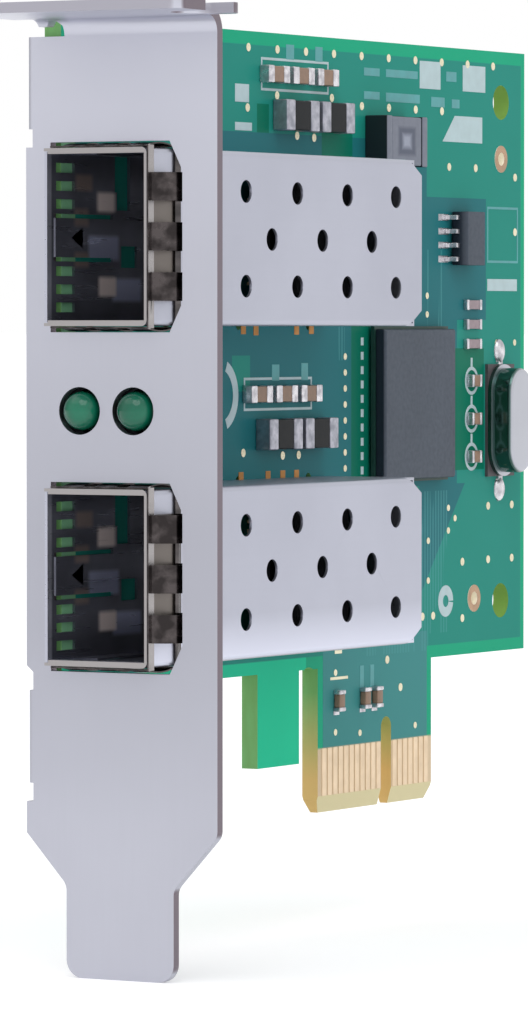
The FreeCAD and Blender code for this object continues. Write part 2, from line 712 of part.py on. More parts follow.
def make_cage(label, middle):
    """The folded shell of one cage: its top, two sides and rear wall, with its pins."""
    solid = Solid(label)
    wall = size("cage_wall")
    low = middle - CAGE_HALF
    high = middle + CAGE_HALF
    shell = solid.sketch("YZ_Plane", FACE)
    rectangle(shell, (CAGE_FRONT, low), (CAGE_REAR, high))
    solid.pad(shell, size("cage_height"))
    solid.fillet(size("cage_fold"), lambda edge: straight_along(edge, "y", x=CAGE_TOP))
    inside = solid.sketch("YZ_Plane", FACE)
    rectangle(inside, (CAGE_FRONT - OVERRUN, low + wall), (CAGE_REAR - wall, high - wall))
    solid.pocket(inside, size("cage_height") - wall, away=True)

    # The side walls are doubled inward at the mouth
    hems = solid.sketch("YZ_Plane", FACE + size("hem_rise"))
    hem = size("hem_sheet")
    for start in (low + wall, high - wall - hem):
        rectangle(hems, (CAGE_FRONT, start), (CAGE_FRONT + size("hem_length"), start + hem))
    solid.pad(hems, size("cage_height") - wall - size("hem_rise"))

    vents = solid.sketch("YZ_Plane", CAGE_TOP)
    pitch = size("vent_pitch")
    longest = max(count for row, count in VENT_ROWS)
    for row, count in VENT_ROWS:
        start = CAGE_FRONT + size("vent_start") + pitch * (longest - count) / 2
        for number in range(count):
            place_in = (start + pitch * number, middle + size("vent_rows") * row)
            circle(vents, place_in, size("vent_hole") / 2)
    solid.pocket(vents, wall)
    corners = solid.sketch("YZ_Plane", CAGE_TOP)
    for edge, inward in ((low, size("cage_notch_across")), (high, -size("cage_notch_across"))):
        outline(corners, [(CAGE_REAR - size("cage_notch_along"), edge), (CAGE_REAR, edge),
                          (CAGE_REAR, edge + inward)])
    solid.pocket(corners, size("cage_fold") + wall)

    # Slots in both side walls, where the base's flaps catch
    foot = FACE + size("catch_rise")
    half = size("catch_width") / 2
    for edge, away in ((low, True), (high, False)):
        catches = solid.sketch("XY_Plane", edge)
        for start in FLAP_PLACES:
            along = start + size("flap_length") / 2
            rectangle(catches, (foot, along - half), (foot + size("catch_height"), along + half))
        solid.pocket(catches, wall, away)

    pins = solid.sketch("YZ_Plane", FACE - size("pin_length"))
    half = size("pin_width") / 2
    for along, side in cage_pins():
        edge = low if side < 0 else high - wall
        rectangle(pins, (along - half, edge), (along + half, edge + wall))
    solid.pad(pins, size("pin_length"))
    return solid.done()


def make_cage_base(label, middle):
    """The folded floor of one cage, with its side flaps and the latch for the module."""
    solid = Solid(label)
    wall = size("cage_wall")
    inner = CAGE_HALF - wall - size("base_gap")
    rear = CAGE_REAR - size("base_rear_gap")
    floor = solid.sketch("YZ_Plane", FACE)
    rectangle(floor, (BASE_FRONT, middle - inner), (rear, middle + inner))
    solid.pad(floor, wall)

    # Flaps stand inside the shell's side walls
    flaps = solid.sketch("YZ_Plane", FACE)
    for low in (middle - inner, middle + inner - size("flap_sheet")):
        for along in FLAP_PLACES:
            rectangle(flaps, (along, low), (along + size("flap_length"), low + size("flap_sheet")))
    solid.pad(flaps, size("flap_height"))

    # The latch: a tongue freed by a slit on three sides, with its triangular catch hole
    openings = solid.sketch("YZ_Plane", FACE)
    half = size("latch_width") / 2
    slit = size("latch_slit")
    tongue = BASE_FRONT + size("latch_start")
    root = tongue + size("latch_length")
    outline(openings, [
        (tongue, middle - half - slit), (root, middle - half - slit), (root, middle - half),
        (tongue + slit, middle - half), (tongue + slit, middle + half), (root, middle + half),
        (root, middle + half + slit), (tongue, middle + half + slit),
    ])
    point = tongue + size("latch_hole_start")
    hole = size("latch_hole")
    outline(openings, [(point, middle), (point + hole, middle - hole / 2),
                       (point + hole, middle + hole / 2)])

    # Narrow windows on both sides of the latch, and two larger ones further in
    narrow = size("window_width")
    mouth = BASE_FRONT + size("window_start")
    for side in (-1, 1):
        edge = middle + (half + slit + size("window_edge") + narrow / 2) * side
        for number in range(3):
            centre = edge + size("window_pitch") * number * side
            rectangle(openings, (mouth, centre - narrow / 2),
                      (mouth + size("window_length"), centre + narrow / 2))
    wide = BASE_FRONT + size("wide_window_start")
    low = middle + half + slit + size("window_edge")
    rectangle(openings, (wide, low),
              (wide + size("wide_window_length"), low + size("wide_window_width")))
    deep = BASE_FRONT + size("deep_window_start")
    high = middle - size("deep_window_edge")
    rectangle(openings, (deep, high - size("deep_window_width")),
              (deep + size("deep_window_length"), high))
    solid.pocket(openings, wall, away=True)

    # Two lanced strips that lift a little from the floor
    start = BASE_FRONT + size("tab_strip_start")
    end = start + size("tab_strip_length")
    lifted = FACE + wall + size("tab_strip_rise")
    width = size("tab_strip_width")
    for centre in (middle + size("tab_strip_high"), middle - size("tab_strip_low")):
        strip = solid.sketch("XY_Plane", centre - width / 2)
        outline(strip, [(FACE, start), (FACE + wall, start), (lifted, end), (FACE + wall / 2, end)])
        solid.pad(strip, width)
    return solid.done()


def make_collar(label, middle):
    """The spring collar: bowed fingers round the cage's mouth that ground it to the bracket."""
    solid = Solid(label)
    thin = size("collar_sheet")
    top = CAGE_TOP + size("collar_gap")
    side = CAGE_HALF + size("collar_gap")
    foot = FACE + size("collar_foot")
    length = size("collar_length")
    band_length = size("collar_band")

    # Two bands folded round three sides of the cage, in front of the fingers and behind them
    for start in (CAGE_FRONT, CAGE_FRONT + length - band_length):
        band = solid.sketch("XZ_Plane", -start)
        outline(band, [
            (foot, middle - side - thin), (top + thin, middle - side - thin),
            (top + thin, middle + side + thin), (foot, middle + side + thin),
            (foot, middle + side), (top, middle + side), (top, middle - side), (foot, middle - side),
        ])
        solid.pad(band, band_length, away=True)

    # Bowed fingers, one profile a side, each repeated along its side
    ends = (CAGE_FRONT + band_length / 2, CAGE_FRONT + length - band_length / 2)
    reach = size("port_finger_room") - size("collar_gap") - thin - size("finger_clearance")
    pitch = size("finger_pitch")
    bow = solid.sketch("XY_Plane", middle - pitch - size("finger_width") / 2)
    bow_profile(bow, ends, top, reach, thin, upright=True)
    solid.repeat(solid.pad(bow, size("finger_width")), bow, FINGERS_A_SIDE, pitch)

    reach = size("port_height_gap") - size("collar_gap") - thin - size("side_finger_clearance")
    pitch = size("side_finger_pitch")
    for direction in (-1, 1):
        bow = solid.sketch("YZ_Plane", foot + size("side_finger_inset") - size("side_finger_width") / 2)
        bow_profile(bow, ends, middle + side * direction, reach * direction, thin * direction,
                    upright=False)
        solid.repeat(solid.pad(bow, size("side_finger_width")), bow, FINGERS_A_SIDE, pitch)
    return solid.done()


def bow_profile(drawing, ends, surface, reach, thin, upright):
    """A thin strip in a circular bow that stands out by reach from the surface."""
    near, far = ends
    half = (far - near) / 2
    radius = (half * half + reach * reach) / (reach * 2)
    centre = ((near + far) / 2, surface + reach - radius)
    stretch = (radius + thin) / radius
    inner = [(near, surface), (far, surface)]
    outer = [tuple(middle + (value - middle) * stretch for value, middle in zip(point, centre))
             for point in inner]
    crowns = [(centre[0], surface + reach), (centre[0], surface + reach + thin)]
    if upright:
        centre, inner, outer, crowns = (centre[::-1], [point[::-1] for point in inner],
                                        [point[::-1] for point in outer],
                                        [point[::-1] for point in crowns])
    for points, crown in ((inner, crowns[0]), (outer, crowns[1])):
        arc_through(drawing, points, crown, centre)
    for number in range(2):
        line = drawing.addGeometry(
            Part.LineSegment(vector(*inner[number]), vector(*outer[number])), False)
        for arc, end, points in ((0, 1, inner), (1, 2, outer)):
            meeting = nearest_end(drawing, arc, points[number])
            drawing.addConstraint(Sketcher.Constraint("Coincident", line, end, arc, meeting))


def arc_through(drawing, points, crown, centre):
    """An arc between two points about a centre, held by the centre, one end and its length."""
    first, last = points
    arc = drawing.addGeometry(Part.Arc(vector(*first), vector(*crown), vector(*last)), False)
    fix(drawing, arc, 3, *centre)
    fix(drawing, arc, nearest_end(drawing, arc, first), *first)
    aside = [abs(sized(end).number - sized(middle).number) for end, middle in zip(last, centre)]
    end = nearest_end(drawing, arc, last)
    if aside[0] > aside[1]:
        fix(drawing, arc, end, up=last[1])
    else:
        fix(drawing, arc, end, across=last[0])


def nearest_end(drawing, geometry, point):
    """Which end of a sketch curve lies at the given point."""
    target = vector(*point)
    return min((1, 2), key=lambda end: drawing.getPoint(geometry, end).distanceToPoint(target))


# ---------------------------------------------------------------- host connectors

HOST_FRONT = CAGE_REAR - size("host_setback")


def make_host_body(label, middle):
    solid = Solid(label)
    half = size("host_width") / 2
    height = size("host_height")
    chin = HOST_FRONT + size("host_nose")
    block = solid.sketch("YZ_Plane", FACE)
    rectangle(block, (chin, middle - half), (HOST_FRONT + size("host_depth"), middle + half))
    solid.pad(block, height)
    nose = solid.sketch("YZ_Plane", FACE + size("host_nose_lift"))
    nose_half = half - size("host_nose_inset")
    rectangle(nose, (HOST_FRONT, middle - nose_half), (chin, middle + nose_half))
    solid.pad(nose, height - size("host_nose_lift"))
    slot = solid.sketch("XZ_Plane", -HOST_FRONT)
    level = FACE + size("host_slot_level")
    slot_half = size("host_slot_width") / 2
    rectangle(slot, (level, middle - slot_half),
              (level + size("host_slot_height"), middle + slot_half))
    solid.pocket(slot, size("host_slot_depth"))
    return solid.done()


def make_host_contacts(label, middle):
    """Two rows of contacts: each has a foot on the board and a riser against the body."""
    contacts = []
    width = size("host_pin_width")
    thin = size("host_pin_sheet")
    foot_length = size("host_foot_length")
    gap = size("host_gap")
    front = HOST_FRONT + size("host_nose") - gap
    rear = HOST_FRONT + size("host_depth") + gap
    for foot_start, riser_start in ((front - foot_length, front - thin), (rear, rear)):
        for number in range(HOST_PINS):
            offset = number - (HOST_PINS - 1) / 2
            across = middle + size("host_pin_pitch") * offset - width / 2
            foot = box((FACE, foot_start, across), (thin, foot_length, width))
            riser = box((FACE, riser_start, across), (size("host_riser"), thin, width))
            contacts.append(fused([foot, riser]))
    return group(label, contacts)


# ---------------------------------------------------------------- indicator

def make_holder():
    """The black right-angle holder that stacks the two lamps above the board."""
    solid = Solid("indicator_holder")
    half = size("holder_width") / 2
    low = INDICATOR_LEVEL - half
    top = INDICATOR_PLACES["far"] + size("holder_margin")
    block = solid.sketch("YZ_Plane", FACE)
    rectangle(block, (HOLDER_FRONT, low), (HOLDER_REAR, INDICATOR_LEVEL + half))
    solid.pad(block, top - FACE)
    slope = solid.sketch("XY_Plane", low)
    cut_back = size("holder_slope")
    outline(slope, [(top - cut_back, HOLDER_REAR), (top, HOLDER_REAR - cut_back), (top, HOLDER_REAR)])
    solid.pocket(slope, half * 2, away=True)
    sockets = solid.sketch("XZ_Plane", -HOLDER_FRONT)
    for across in INDICATOR_PLACES.values():
        circle(sockets, (across, INDICATOR_LEVEL), size("lens_radius") + size("lens_flange")
               + size("lens_gap"))
    solid.pocket(sockets, size("socket_depth"))
    channels = solid.sketch("XZ_Plane", -HOLDER_FRONT)
    reach = size("lead_width") / 2 + size("lead_gap")
    for across in INDICATOR_PLACES.values():
        for side in (-1, 1):
            up = INDICATOR_LEVEL + size("lead_half_pitch") * side
            rectangle(channels, (across - reach, up - reach), (across + reach, up + reach))
    solid.pocket(channels, size("holder_depth"))
    return solid.done()


def make_lens(label, across):
    """One domed lamp: a round barrel with a spherical nose and a wider flange at its back."""
    radius = size("lens_radius")
    shoulder = radius - size("lens_proud")
    rear = HOLDER_FRONT + size("lens_depth")
    nose = document.addObject("Part::Sphere", "Nose")
    bind(nose, "Radius", radius)
    for axis, corner in zip("xyz", (across, shoulder, INDICATOR_LEVEL)):
        bind(nose, "Placement.Base." + axis, corner)
    barrel = cylinder("y", (across, shoulder, INDICATOR_LEVEL), radius, rear - shoulder)
    thick = size("lens_flange_length")
    flange = cylinder("y", (across, rear - thick, INDICATOR_LEVEL), radius + size("lens_flange"), thick)
    return place(fused([nose, barrel, flange]), label)


def make_indicator_leads():
    """Each lamp's two leads run back out of the holder and turn down through the board."""
    leads = []
    width = size("lead_width")
    start = HOLDER_FRONT + size("lens_depth")
    foot = FACE - size("pin_length")
    for name, across in INDICATOR_PLACES.items():
        end = LEAD_DROPS[name]
        for side in (-1, 1):
            low = INDICATOR_LEVEL + size("lead_half_pitch") * side - width / 2
            run = box((across - width / 2, start, low), (width, end - start + width, width))
            drop = box((foot, end, low), (across + width / 2 - foot, width, width))
            leads.append(fused([run, drop]))
    return group("indicator_leads", leads)


# ---------------------------------------------------------------- components on the board

def make_controller():
    """A ball-grid package: its substrate, its moulded cap and the outer ring of its balls."""
    side = size("controller_side")
    across = CAGE_REAR + size("controller_behind")
    high = PORT_HIGH - size("controller_drop")
    low = (across - side / 2, high - side / 2)
    level = FACE + size("controller_stand")
    group("controller_substrate", [box((level,) + low, (size("controller_base"), side, side))])

    step = size("controller_step")
    cap = Solid("controller_cap")
    drawing = cap.sketch("YZ_Plane", level + size("controller_base"))
    rectangle(drawing, (low[0] + step, low[1] + step), (low[0] + side - step, low[1] + side - step))
    cap.pad(drawing, size("controller_cap"))
    top = level + size("controller_base") + size("controller_cap")
    cap.chamfer(size("controller_edge"), lambda edge: lies_on_top(edge, top))
    cap.done()

    balls = []
    pitch = size("ball_pitch")
    count = int(side.number / pitch.number) - 1
    last = count - 1
    for column in range(count):
        for rank in range(count):
            if column not in (0, last) and rank not in (0, last):
                continue
            centre = (FACE, across + pitch * (column - last / 2), high + pitch * (rank - last / 2))
            balls.append(prism(centre, size("ball_size") / 2, size("controller_stand"), BALL_SIDES))
    group("controller_balls", balls)


def make_memory():
    """A flat package with drafted sides, a chamfer along its pin-one side and bent leads."""
    body = Solid("memory_chip")
    across = CAGE_REAR + size("memory_behind")
    high = PORT_HIGH + size("memory_rise")
    level = FACE + size("memory_stand")
    top = level + size("memory_thickness")
    waist = level + size("memory_thickness") / 2
    half = size("memory_width") / 2
    slim = half - size("memory_draft")
    chamfer = size("memory_chamfer")
    drawing = body.sketch("XY_Plane", high - size("memory_length") / 2)
    outline(drawing, [
        (level, across - slim), (waist, across - half), (top - chamfer, across - slim),
        (top, across - slim + chamfer), (top, across + slim), (waist, across + half),
        (level, across + slim),
    ])
    body.pad(drawing, size("memory_length"))
    body.done()

    leads = []
    width = size("memory_lead")
    thin = size("lead_sheet")
    reach = size("memory_span") / 2
    knee = half + size("lead_knee")
    shoulder_level = waist - thin / 2
    for side in (-1, 1):
        for number in range(MEMORY_LEADS):
            offset = number - (MEMORY_LEADS - 1) / 2
            low = high + size("memory_pitch") * offset - width / 2
            foot = box((FACE, one_side(across, side, knee, reach), low), (thin, reach - knee, width))
            riser = box((FACE, one_side(across, side, knee, knee + thin), low),
                        (waist + thin / 2 - FACE, thin, width))
            shoulder = box((shoulder_level, one_side(across, side, half, knee + thin), low),
                           (thin, knee + thin - half, width))
            leads.append(fused([foot, riser, shoulder]))
    group("memory_leads", leads)


def one_side(middle, side, near, far):
    """Where a block starts that reaches from near to far on one side of the middle."""
    return middle + near if side > 0 else middle - far


def make_two_ended(label, centre, shape, end, upright):
    """The body and the two metal ends of a part that lies on the board."""
    along, high = centre
    long, wide, thick = shape
    skin = size("chip_skin")
    body_half = long / 2 - end
    slim = wide - skin * 2
    if upright:
        body = box((FACE + skin, along - slim / 2, high - body_half),
                   (thick - skin * 2, slim, body_half * 2))
        ends = [box((FACE, along - wide / 2, high + start), (thick, wide, end))
                for start in (body_half, -long / 2)]
    else:
        body = box((FACE + skin, along - body_half, high - slim / 2),
                   (thick - skin * 2, body_half * 2, slim))
        ends = [box((FACE, along + start, high - wide / 2), (thick, end, wide))
                for start in (body_half, -long / 2)]
    group(label, [body])
    return ends


def shape_of(kind):
    return [size(kind + part) for part in ("_length", "_width", "_thickness")]


def make_power_parts():
    centre = (CAGE_REAR + size("inductor_behind"), PORT_HIGH + size("inductor_rise"))
    ends = make_two_ended("power_inductor", centre, shape_of("inductor"), size("inductor_end"), False)
    group("power_inductor_ends", ends)

    number = 1
    for name, middle in PORT_CENTRES.items():
        for step in range(2):
            along = CAGE_REAR - size("choke_ahead") - ROW_BACKS[name] + size("choke_pitch") * step
            label = "port_choke_%d" % number
            centre = (along, middle + CAGE_HALF + size("choke_offset"))
            ends = make_two_ended(label, centre, shape_of("choke"), size("choke_end"), False)
            group(label + "_ends", ends)
            number += 1


def make_crystal():
    """A surface-mount crystal: a plastic seat, a drawn can with a rim, and a lead at each end."""
    across = BOARD_REAR - size("crystal_inset")
    high = PORT_HIGH - size("crystal_drop")
    wide = size("crystal_width")
    long = size("crystal_length")
    rim = size("crystal_rim")
    seat = size("crystal_seat")
    thick = size("crystal_thickness")
    group("crystal_seat", [box((FACE, across - wide / 2 - rim, high - long / 2 - rim),
                               (seat, wide + rim * 2, long + rim * 2))])

    can = Solid("crystal_can")
    level = FACE + seat
    for foot, height, extra in ((level, rim, rim * 2), (level + rim, thick - rim, sized(0))):
        drawing = can.sketch("YZ_Plane", foot)
        stadium(drawing, (across, high), long + extra, wide + extra)
        can.pad(drawing, height)
    can.fillet(size("crystal_round"), lambda edge: lies_on_top(edge, level + thick))
    can.done()

    leads = []
    width = size("crystal_lead_width")
    length = size("crystal_lead_length")
    for start in (high + long / 2 + rim, high - long / 2 - rim - length):
        leads.append(box((FACE, across - width / 2, start),
                         (size("crystal_lead_sheet"), width, length)))
    group("crystal_leads", leads)


def stadium(drawing, centre, long, wide):
    """A rounded-end outline about centre, long in the sketch's upright direction."""
    across, up = centre
    half = wide / 2
    run = long / 2 - half
    normal = FreeCAD.Vector(0, 0, 1)
    upper = Part.Circle(vector(across, up + run), normal, half.number)
    lower = Part.Circle(vector(across, up - run), normal, half.number)
    drawing.addGeometry(Part.ArcOfCircle(upper, 0, math.pi), False)
    drawing.addGeometry(Part.LineSegment(vector(across - half, up + run),
                                         vector(across - half, up - run)), False)
    drawing.addGeometry(Part.ArcOfCircle(lower, math.pi, 2 * math.pi), False)
    drawing.addGeometry(Part.LineSegment(vector(across + half, up - run),
                                         vector(across + half, up + run)), False)
    for index in range(4):
        drawing.addConstraint(Sketcher.Constraint("Coincident", index, 2, (index + 1) % 4, 1))
    fix(drawing, 0, 3, across, up + run)
    fix(drawing, 2, 3, across, up - run)
    fix(drawing, 1, 1, across - half, up + run)
    fix(drawing, 1, 2, across - half, up - run)
    fix(drawing, 3, 1, up=up - run)
    fix(drawing, 3, 2, up=up + run)


def make_small_chips():
    """Chip capacitors beside the cages, the controller and the contacts, and three resistors."""
    ends = []
    number = 1
    for name, middle in PORT_CENTRES.items():
        for step in range(3):
            along = CAGE_REAR - size("filter_ahead") - ROW_BACKS[name] + size("filter_pitch") * step
            centre = (along, middle + CAGE_HALF + size("filter_offset"))
            ends += make_two_ended("filter_capacitor_%d" % number, centre, shape_of("filter"),
                                   size("filter_end"), False)
            number += 1
    for step in range(3):
        centre = (BOARD_REAR - size("core_inset"),
                  PORT_HIGH - size("core_drop") - size("core_pitch") * step)
        ends += make_two_ended("core_capacitor_%d" % (step + 1), centre, shape_of("chip"),
                               size("chip_end"), False)
    first = size("contact_start") + size("lane_first")
    second = first + size("lane_gap")
    for step, along in enumerate((first, second, second + size("lane_pitch"))):
        centre = (along, size("pad_top") + size("lane_lift"))
        ends += make_two_ended("lane_capacitor_%d" % (step + 1), centre, shape_of("chip"),
                               size("chip_end"), True)
    group("capacitor_ends", ends)

    ends = []
    for step in range(3):
        centre = (BOARD_REAR - size("strap_inset"),
                  PORT_HIGH - size("strap_drop") - size("strap_pitch") * step)
        ends += make_two_ended("strap_resistor_%d" % (step + 1), centre, shape_of("strap"),
                               size("chip_end"), False)
    group("resistor_ends", ends)


def build():
    make_bracket()
    make_screws()
    make_board()
    make_edge_contacts("edge_contacts_component", FACE)
    make_edge_contacts("edge_contacts_solder", BACK - size("pad_thickness"))
    make_plated_rims()
    for name, middle in PORT_CENTRES.items():
        make_cage("cage_" + name, middle)
        make_cage_base("cage_base_" + name, middle)
        make_collar("spring_collar_" + name, middle)
        make_host_body("host_connector_" + name, middle)
        make_host_contacts("host_contacts_" + name, middle)
    make_holder()
    for name, across in INDICATOR_PLACES.items():
        make_lens("indicator_lens_" + name, across)
    make_indicator_leads()
    make_controller()
    make_memory()
    make_power_parts()
    make_crystal()
    make_small_chips()


def check():
    document.recompute()
    for item in document.Objects:
        if "Invalid" in item.State or "Error" in item.State:
            raise RuntimeError("%s (%s) failed to compute" % (item.Label, item.Name))
    for piece in pieces:
        if piece.Shape.isNull() or not piece.Shape.isValid() or not piece.Shape.Solids:
            raise RuntimeError("%s has no valid shape" % piece.Label)


build()
check()
os.makedirs("parts", exist_ok=True)
for piece in pieces:
    piece.Shape.exportStep("parts/%s.step" % piece.Label)
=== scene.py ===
import math

import bpy
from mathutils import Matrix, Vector


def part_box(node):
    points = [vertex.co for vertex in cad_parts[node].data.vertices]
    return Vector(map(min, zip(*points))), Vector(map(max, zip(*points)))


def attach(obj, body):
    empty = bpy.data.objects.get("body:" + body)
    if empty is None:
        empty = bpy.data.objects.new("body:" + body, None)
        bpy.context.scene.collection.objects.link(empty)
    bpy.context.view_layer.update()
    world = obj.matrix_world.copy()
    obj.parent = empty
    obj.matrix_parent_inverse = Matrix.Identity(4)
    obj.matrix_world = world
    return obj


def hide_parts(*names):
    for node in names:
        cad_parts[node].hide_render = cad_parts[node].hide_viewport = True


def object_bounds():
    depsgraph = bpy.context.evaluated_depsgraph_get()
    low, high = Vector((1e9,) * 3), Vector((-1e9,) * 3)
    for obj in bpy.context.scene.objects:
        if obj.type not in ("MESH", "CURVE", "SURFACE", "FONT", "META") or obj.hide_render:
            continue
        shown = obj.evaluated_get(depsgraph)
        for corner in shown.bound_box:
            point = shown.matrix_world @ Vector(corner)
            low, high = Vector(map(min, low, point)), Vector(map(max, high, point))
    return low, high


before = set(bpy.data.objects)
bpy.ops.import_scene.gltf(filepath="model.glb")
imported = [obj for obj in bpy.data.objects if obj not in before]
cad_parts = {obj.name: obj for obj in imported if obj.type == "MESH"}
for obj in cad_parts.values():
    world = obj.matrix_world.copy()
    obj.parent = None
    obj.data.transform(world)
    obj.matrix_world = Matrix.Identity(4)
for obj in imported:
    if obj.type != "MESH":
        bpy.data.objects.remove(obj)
cad_low, cad_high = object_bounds()

MM = 0.001
# How far a face's direction may lean and still count as facing along an axis
UPRIGHT = 0.9
# The angle from which an edge counts as sharp
SHARP = math.radians(35)
# Where the cages' board pins stand, and how far the board starts behind the bracket, in millimetres
PIN_START = 7.2
PIN_PITCH = 12.3
PIN_COUNT = 4
PIN_INSET = 0.125
PLATE_GAP = 0.64
BOARD_LOW, BOARD_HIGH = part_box("board")
CONTACTS_LOW, CONTACTS_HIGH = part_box("edge_contacts_component")
LEVELS = ("upper", "lower")
CAGES = {level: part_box("cage_" + level) for level in LEVELS}


# ------------------------------------------------------------------ colours

def linear(red, green, blue):
    """A colour given in display values from 0 to 255, as the shader needs it."""
    channels = []
    for value in (red, green, blue):
        part = value / 255
        channels.append(part / 12.92 if part <= 0.04045 else ((part + 0.055) / 1.055) ** 2.4)
    return (*channels, 1.0)


def tinted(colour, factor):
    """The same colour, lighter above a factor of 1 and darker below it."""
    return (*(min(1.0, part * factor) for part in colour[:3]), 1.0)


BRACKET_STEEL = linear(190, 191, 202)
CAGE_STEEL = linear(184, 186, 199)
BAY_STEEL_SHADE = linear(120, 122, 136)
BAY_REFLECTION = linear(196, 202, 236)
BAY_BROWN = linear(188, 164, 152)
SPRING_STEEL_PAINTED_DARK = linear(54, 50, 50)
COLLAR_BAND_HIGHLIGHT = linear(160, 156, 156)
COLLAR_SHADE = linear(116, 109, 104)
SHADED_CUT_EDGE = linear(122, 112, 120)
SCREW_STEEL = linear(186, 186, 192)
BARE_MASK = linear(24, 176, 134)
GROUND_MASK = linear(36, 146, 132)
PLANE_MASK = linear(38, 116, 124)
TONGUE_MASK = linear(70, 146, 146)
FRONT_MASK = linear(136, 196, 150)
DARK_MASK = linear(0, 112, 84)
PALE_MASK = linear(88, 164, 166)
SILK = linear(186, 208, 212)
GOLD = linear(238, 214, 182)
GOLD_EDGE = linear(232, 221, 176)
GOLD_GAP = linear(226, 203, 170)
PAD_GOLD = linear(238, 230, 200)
RING_GOLD = linear(186, 152, 122)
BARREL_LIGHT = linear(255, 248, 228)
COPPER = linear(176, 122, 58)
LAMINATE = linear(132, 172, 84)
LAMINATE_FRONT = linear(128, 188, 120)
LAMINATE_GOLD = linear(228, 192, 124)
CHIP_BLACK = linear(76, 84, 96)
CHIP_WALL_SHADE = linear(30, 40, 52)
CAN_STEEL = linear(188, 190, 198)
CAN_SIDE_REFLECTION = linear(70, 100, 94)
TAB_HIGHLIGHT = linear(236, 220, 214)
WINDING_PALE = linear(160, 166, 182)
WINDING_DARK = linear(92, 98, 114)
FERRITE_WALL = linear(26, 38, 42)
MOUTH_RIM_SHADE = linear(164, 160, 160)
LAMP_CORE = linear(8, 100, 76)
LAMP_CLOUD = linear(22, 124, 94)
LAMP_RIM_SHADE = linear(4, 62, 42)


# ------------------------------------------------------------------ material building

LIMITS = ("From Min", "From Max", "To Min", "To Max")


class Shader:
    """A new material with its node tree, and short ways of adding nodes to it."""

    def __init__(self, name):
        self.material = bpy.data.materials.new(name)
        self.material.use_nodes = True
        self.tree = self.material.node_tree
        self.surface = self.tree.nodes["Principled BSDF"]
        self.coordinates = self.node("ShaderNodeTexCoord")
        self.place = self.coordinates.outputs["Object"]

    def node(self, kind, **settings):
        item = self.tree.nodes.new(kind)
        for name, value in settings.items():
            setattr(item, name, value)
        return item

    def join(self, source, target):
        self.tree.links.new(source, target)

    def feed(self, value, socket):
        """Puts a plain number or another node's output into a socket."""
        if isinstance(value, bpy.types.NodeSocket):
            self.join(value, socket)
        else:
            socket.default_value = value

    def settle(self, **values):
        """Sets constants on the surface's own sockets."""
        for name, value in values.items():
            self.surface.inputs[name.replace("_", " ")].default_value = value

    def maths(self, operation, first, second=0.0):
        item = self.node("ShaderNodeMath", operation=operation)
        self.feed(first, item.inputs[0])
        self.feed(second, item.inputs[1])
        return item.outputs[0]

    def times(self, first, second):
        return self.maths("MULTIPLY", first, second)

    def either(self, *masks):
        """The strongest of several masks."""
        total = masks[0]
        for mask in masks[1:]:
            total = self.maths("MAXIMUM", total, mask)
        return total

    def less(self, mask, taken):
        """A mask with another one taken out of it."""
        return self.times(mask, self.maths("SUBTRACT", 1.0, taken))

    def axes(self):
        """How far along the card and how far up it a point lies."""
        item = self.node("ShaderNodeSeparateXYZ")
        self.join(self.place, item.inputs[0])
        return item.outputs[1], item.outputs[2]

    def facing(self):
        """The three parts of the surface's direction."""
        item = self.node("ShaderNodeSeparateXYZ")
        self.join(self.coordinates.outputs["Normal"], item.inputs[0])
        return item.outputs

    def ramp(self, value, low, high, start=0.0, end=1.0):
        """Runs from start to end while the value runs from low to high."""
        item = self.node("ShaderNodeMapRange", clamp=True)
        self.feed(value, item.inputs["Value"])
        for name, limit in zip(LIMITS, (low, high, start, end)):
            item.inputs[name].default_value = limit
        return item.outputs[0]

    def between(self, value, low, high, soft=0.00005):
        """1 where the value lies between low and high, with a soft edge, and 0 elsewhere."""
        return self.times(self.ramp(value, low - soft, low + soft),
                          self.ramp(value, high + soft, high - soft))

    def noise(self, scale, detail=3.0, stretch=(1, 1, 1)):
        source = self.place
        if stretch != (1, 1, 1):
            mapping = self.node("ShaderNodeMapping")
            mapping.inputs["Scale"].default_value = stretch
            self.join(self.place, mapping.inputs[0])
            source = mapping.outputs[0]
        item = self.node("ShaderNodeTexNoise")
        self.join(source, item.inputs["Vector"])
        item.inputs["Scale"].default_value = scale
        item.inputs["Detail"].default_value = detail
        return item.outputs[0]

    def mix(self, factor, first, second):
        """The first colour where the factor is 0, and the second where it is 1."""
        item = self.node("ShaderNodeMix", data_type="RGBA")
        self.feed(factor, item.inputs[0])
        self.feed(first, item.inputs[6])
        self.feed(second, item.inputs[7])
        return item.outputs[2]

    def bump(self, height, distance, strength=1.0):
        item = self.node("ShaderNodeBump")
        item.inputs["Strength"].default_value = strength
        item.inputs["Distance"].default_value = distance
        self.join(height, item.inputs["Height"])
        self.join(item.outputs[0], self.surface.inputs["Normal"])

    def colour(self, source):
        self.feed(source, self.surface.inputs["Base Color"])

    def rough(self, source):
        self.feed(source, self.surface.inputs["Roughness"])

    def rolled(self, colour, cloud, fine):
        """Sheet's tone: faint clouds, and the darker streaks of its rolling grain."""
        tone = self.mix(self.ramp(cloud, 0.35, 0.7), colour, tinted(colour, 0.95))
        return self.mix(self.ramp(fine, 0.3, 0.7, 0.0, 0.10), tone, tinted(colour, 0.88))

    def satin(self, fine):
        """The relief of a rolled or drawn metal's fine grain."""
        self.bump(fine, 0.000003, 0.25)


def screw_plating():
    """The screws' bright plating, with a fine grain and faint handling marks."""
    shader = Shader("screw_zinc")
    cloud = shader.noise(70, 4)
    fine = shader.noise(2600, 2, (0.1, 1, 1))
    shader.colour(shader.rolled(SCREW_STEEL, cloud, fine))
    shader.rough(shader.maths("ADD", shader.ramp(cloud, 0.3, 0.7, 0.26, 0.34),
                              shader.ramp(fine, 0.3, 0.7, -0.03, 0.03)))
    shader.settle(Metallic=0.9)
    shader.satin(fine)
    return shader.material


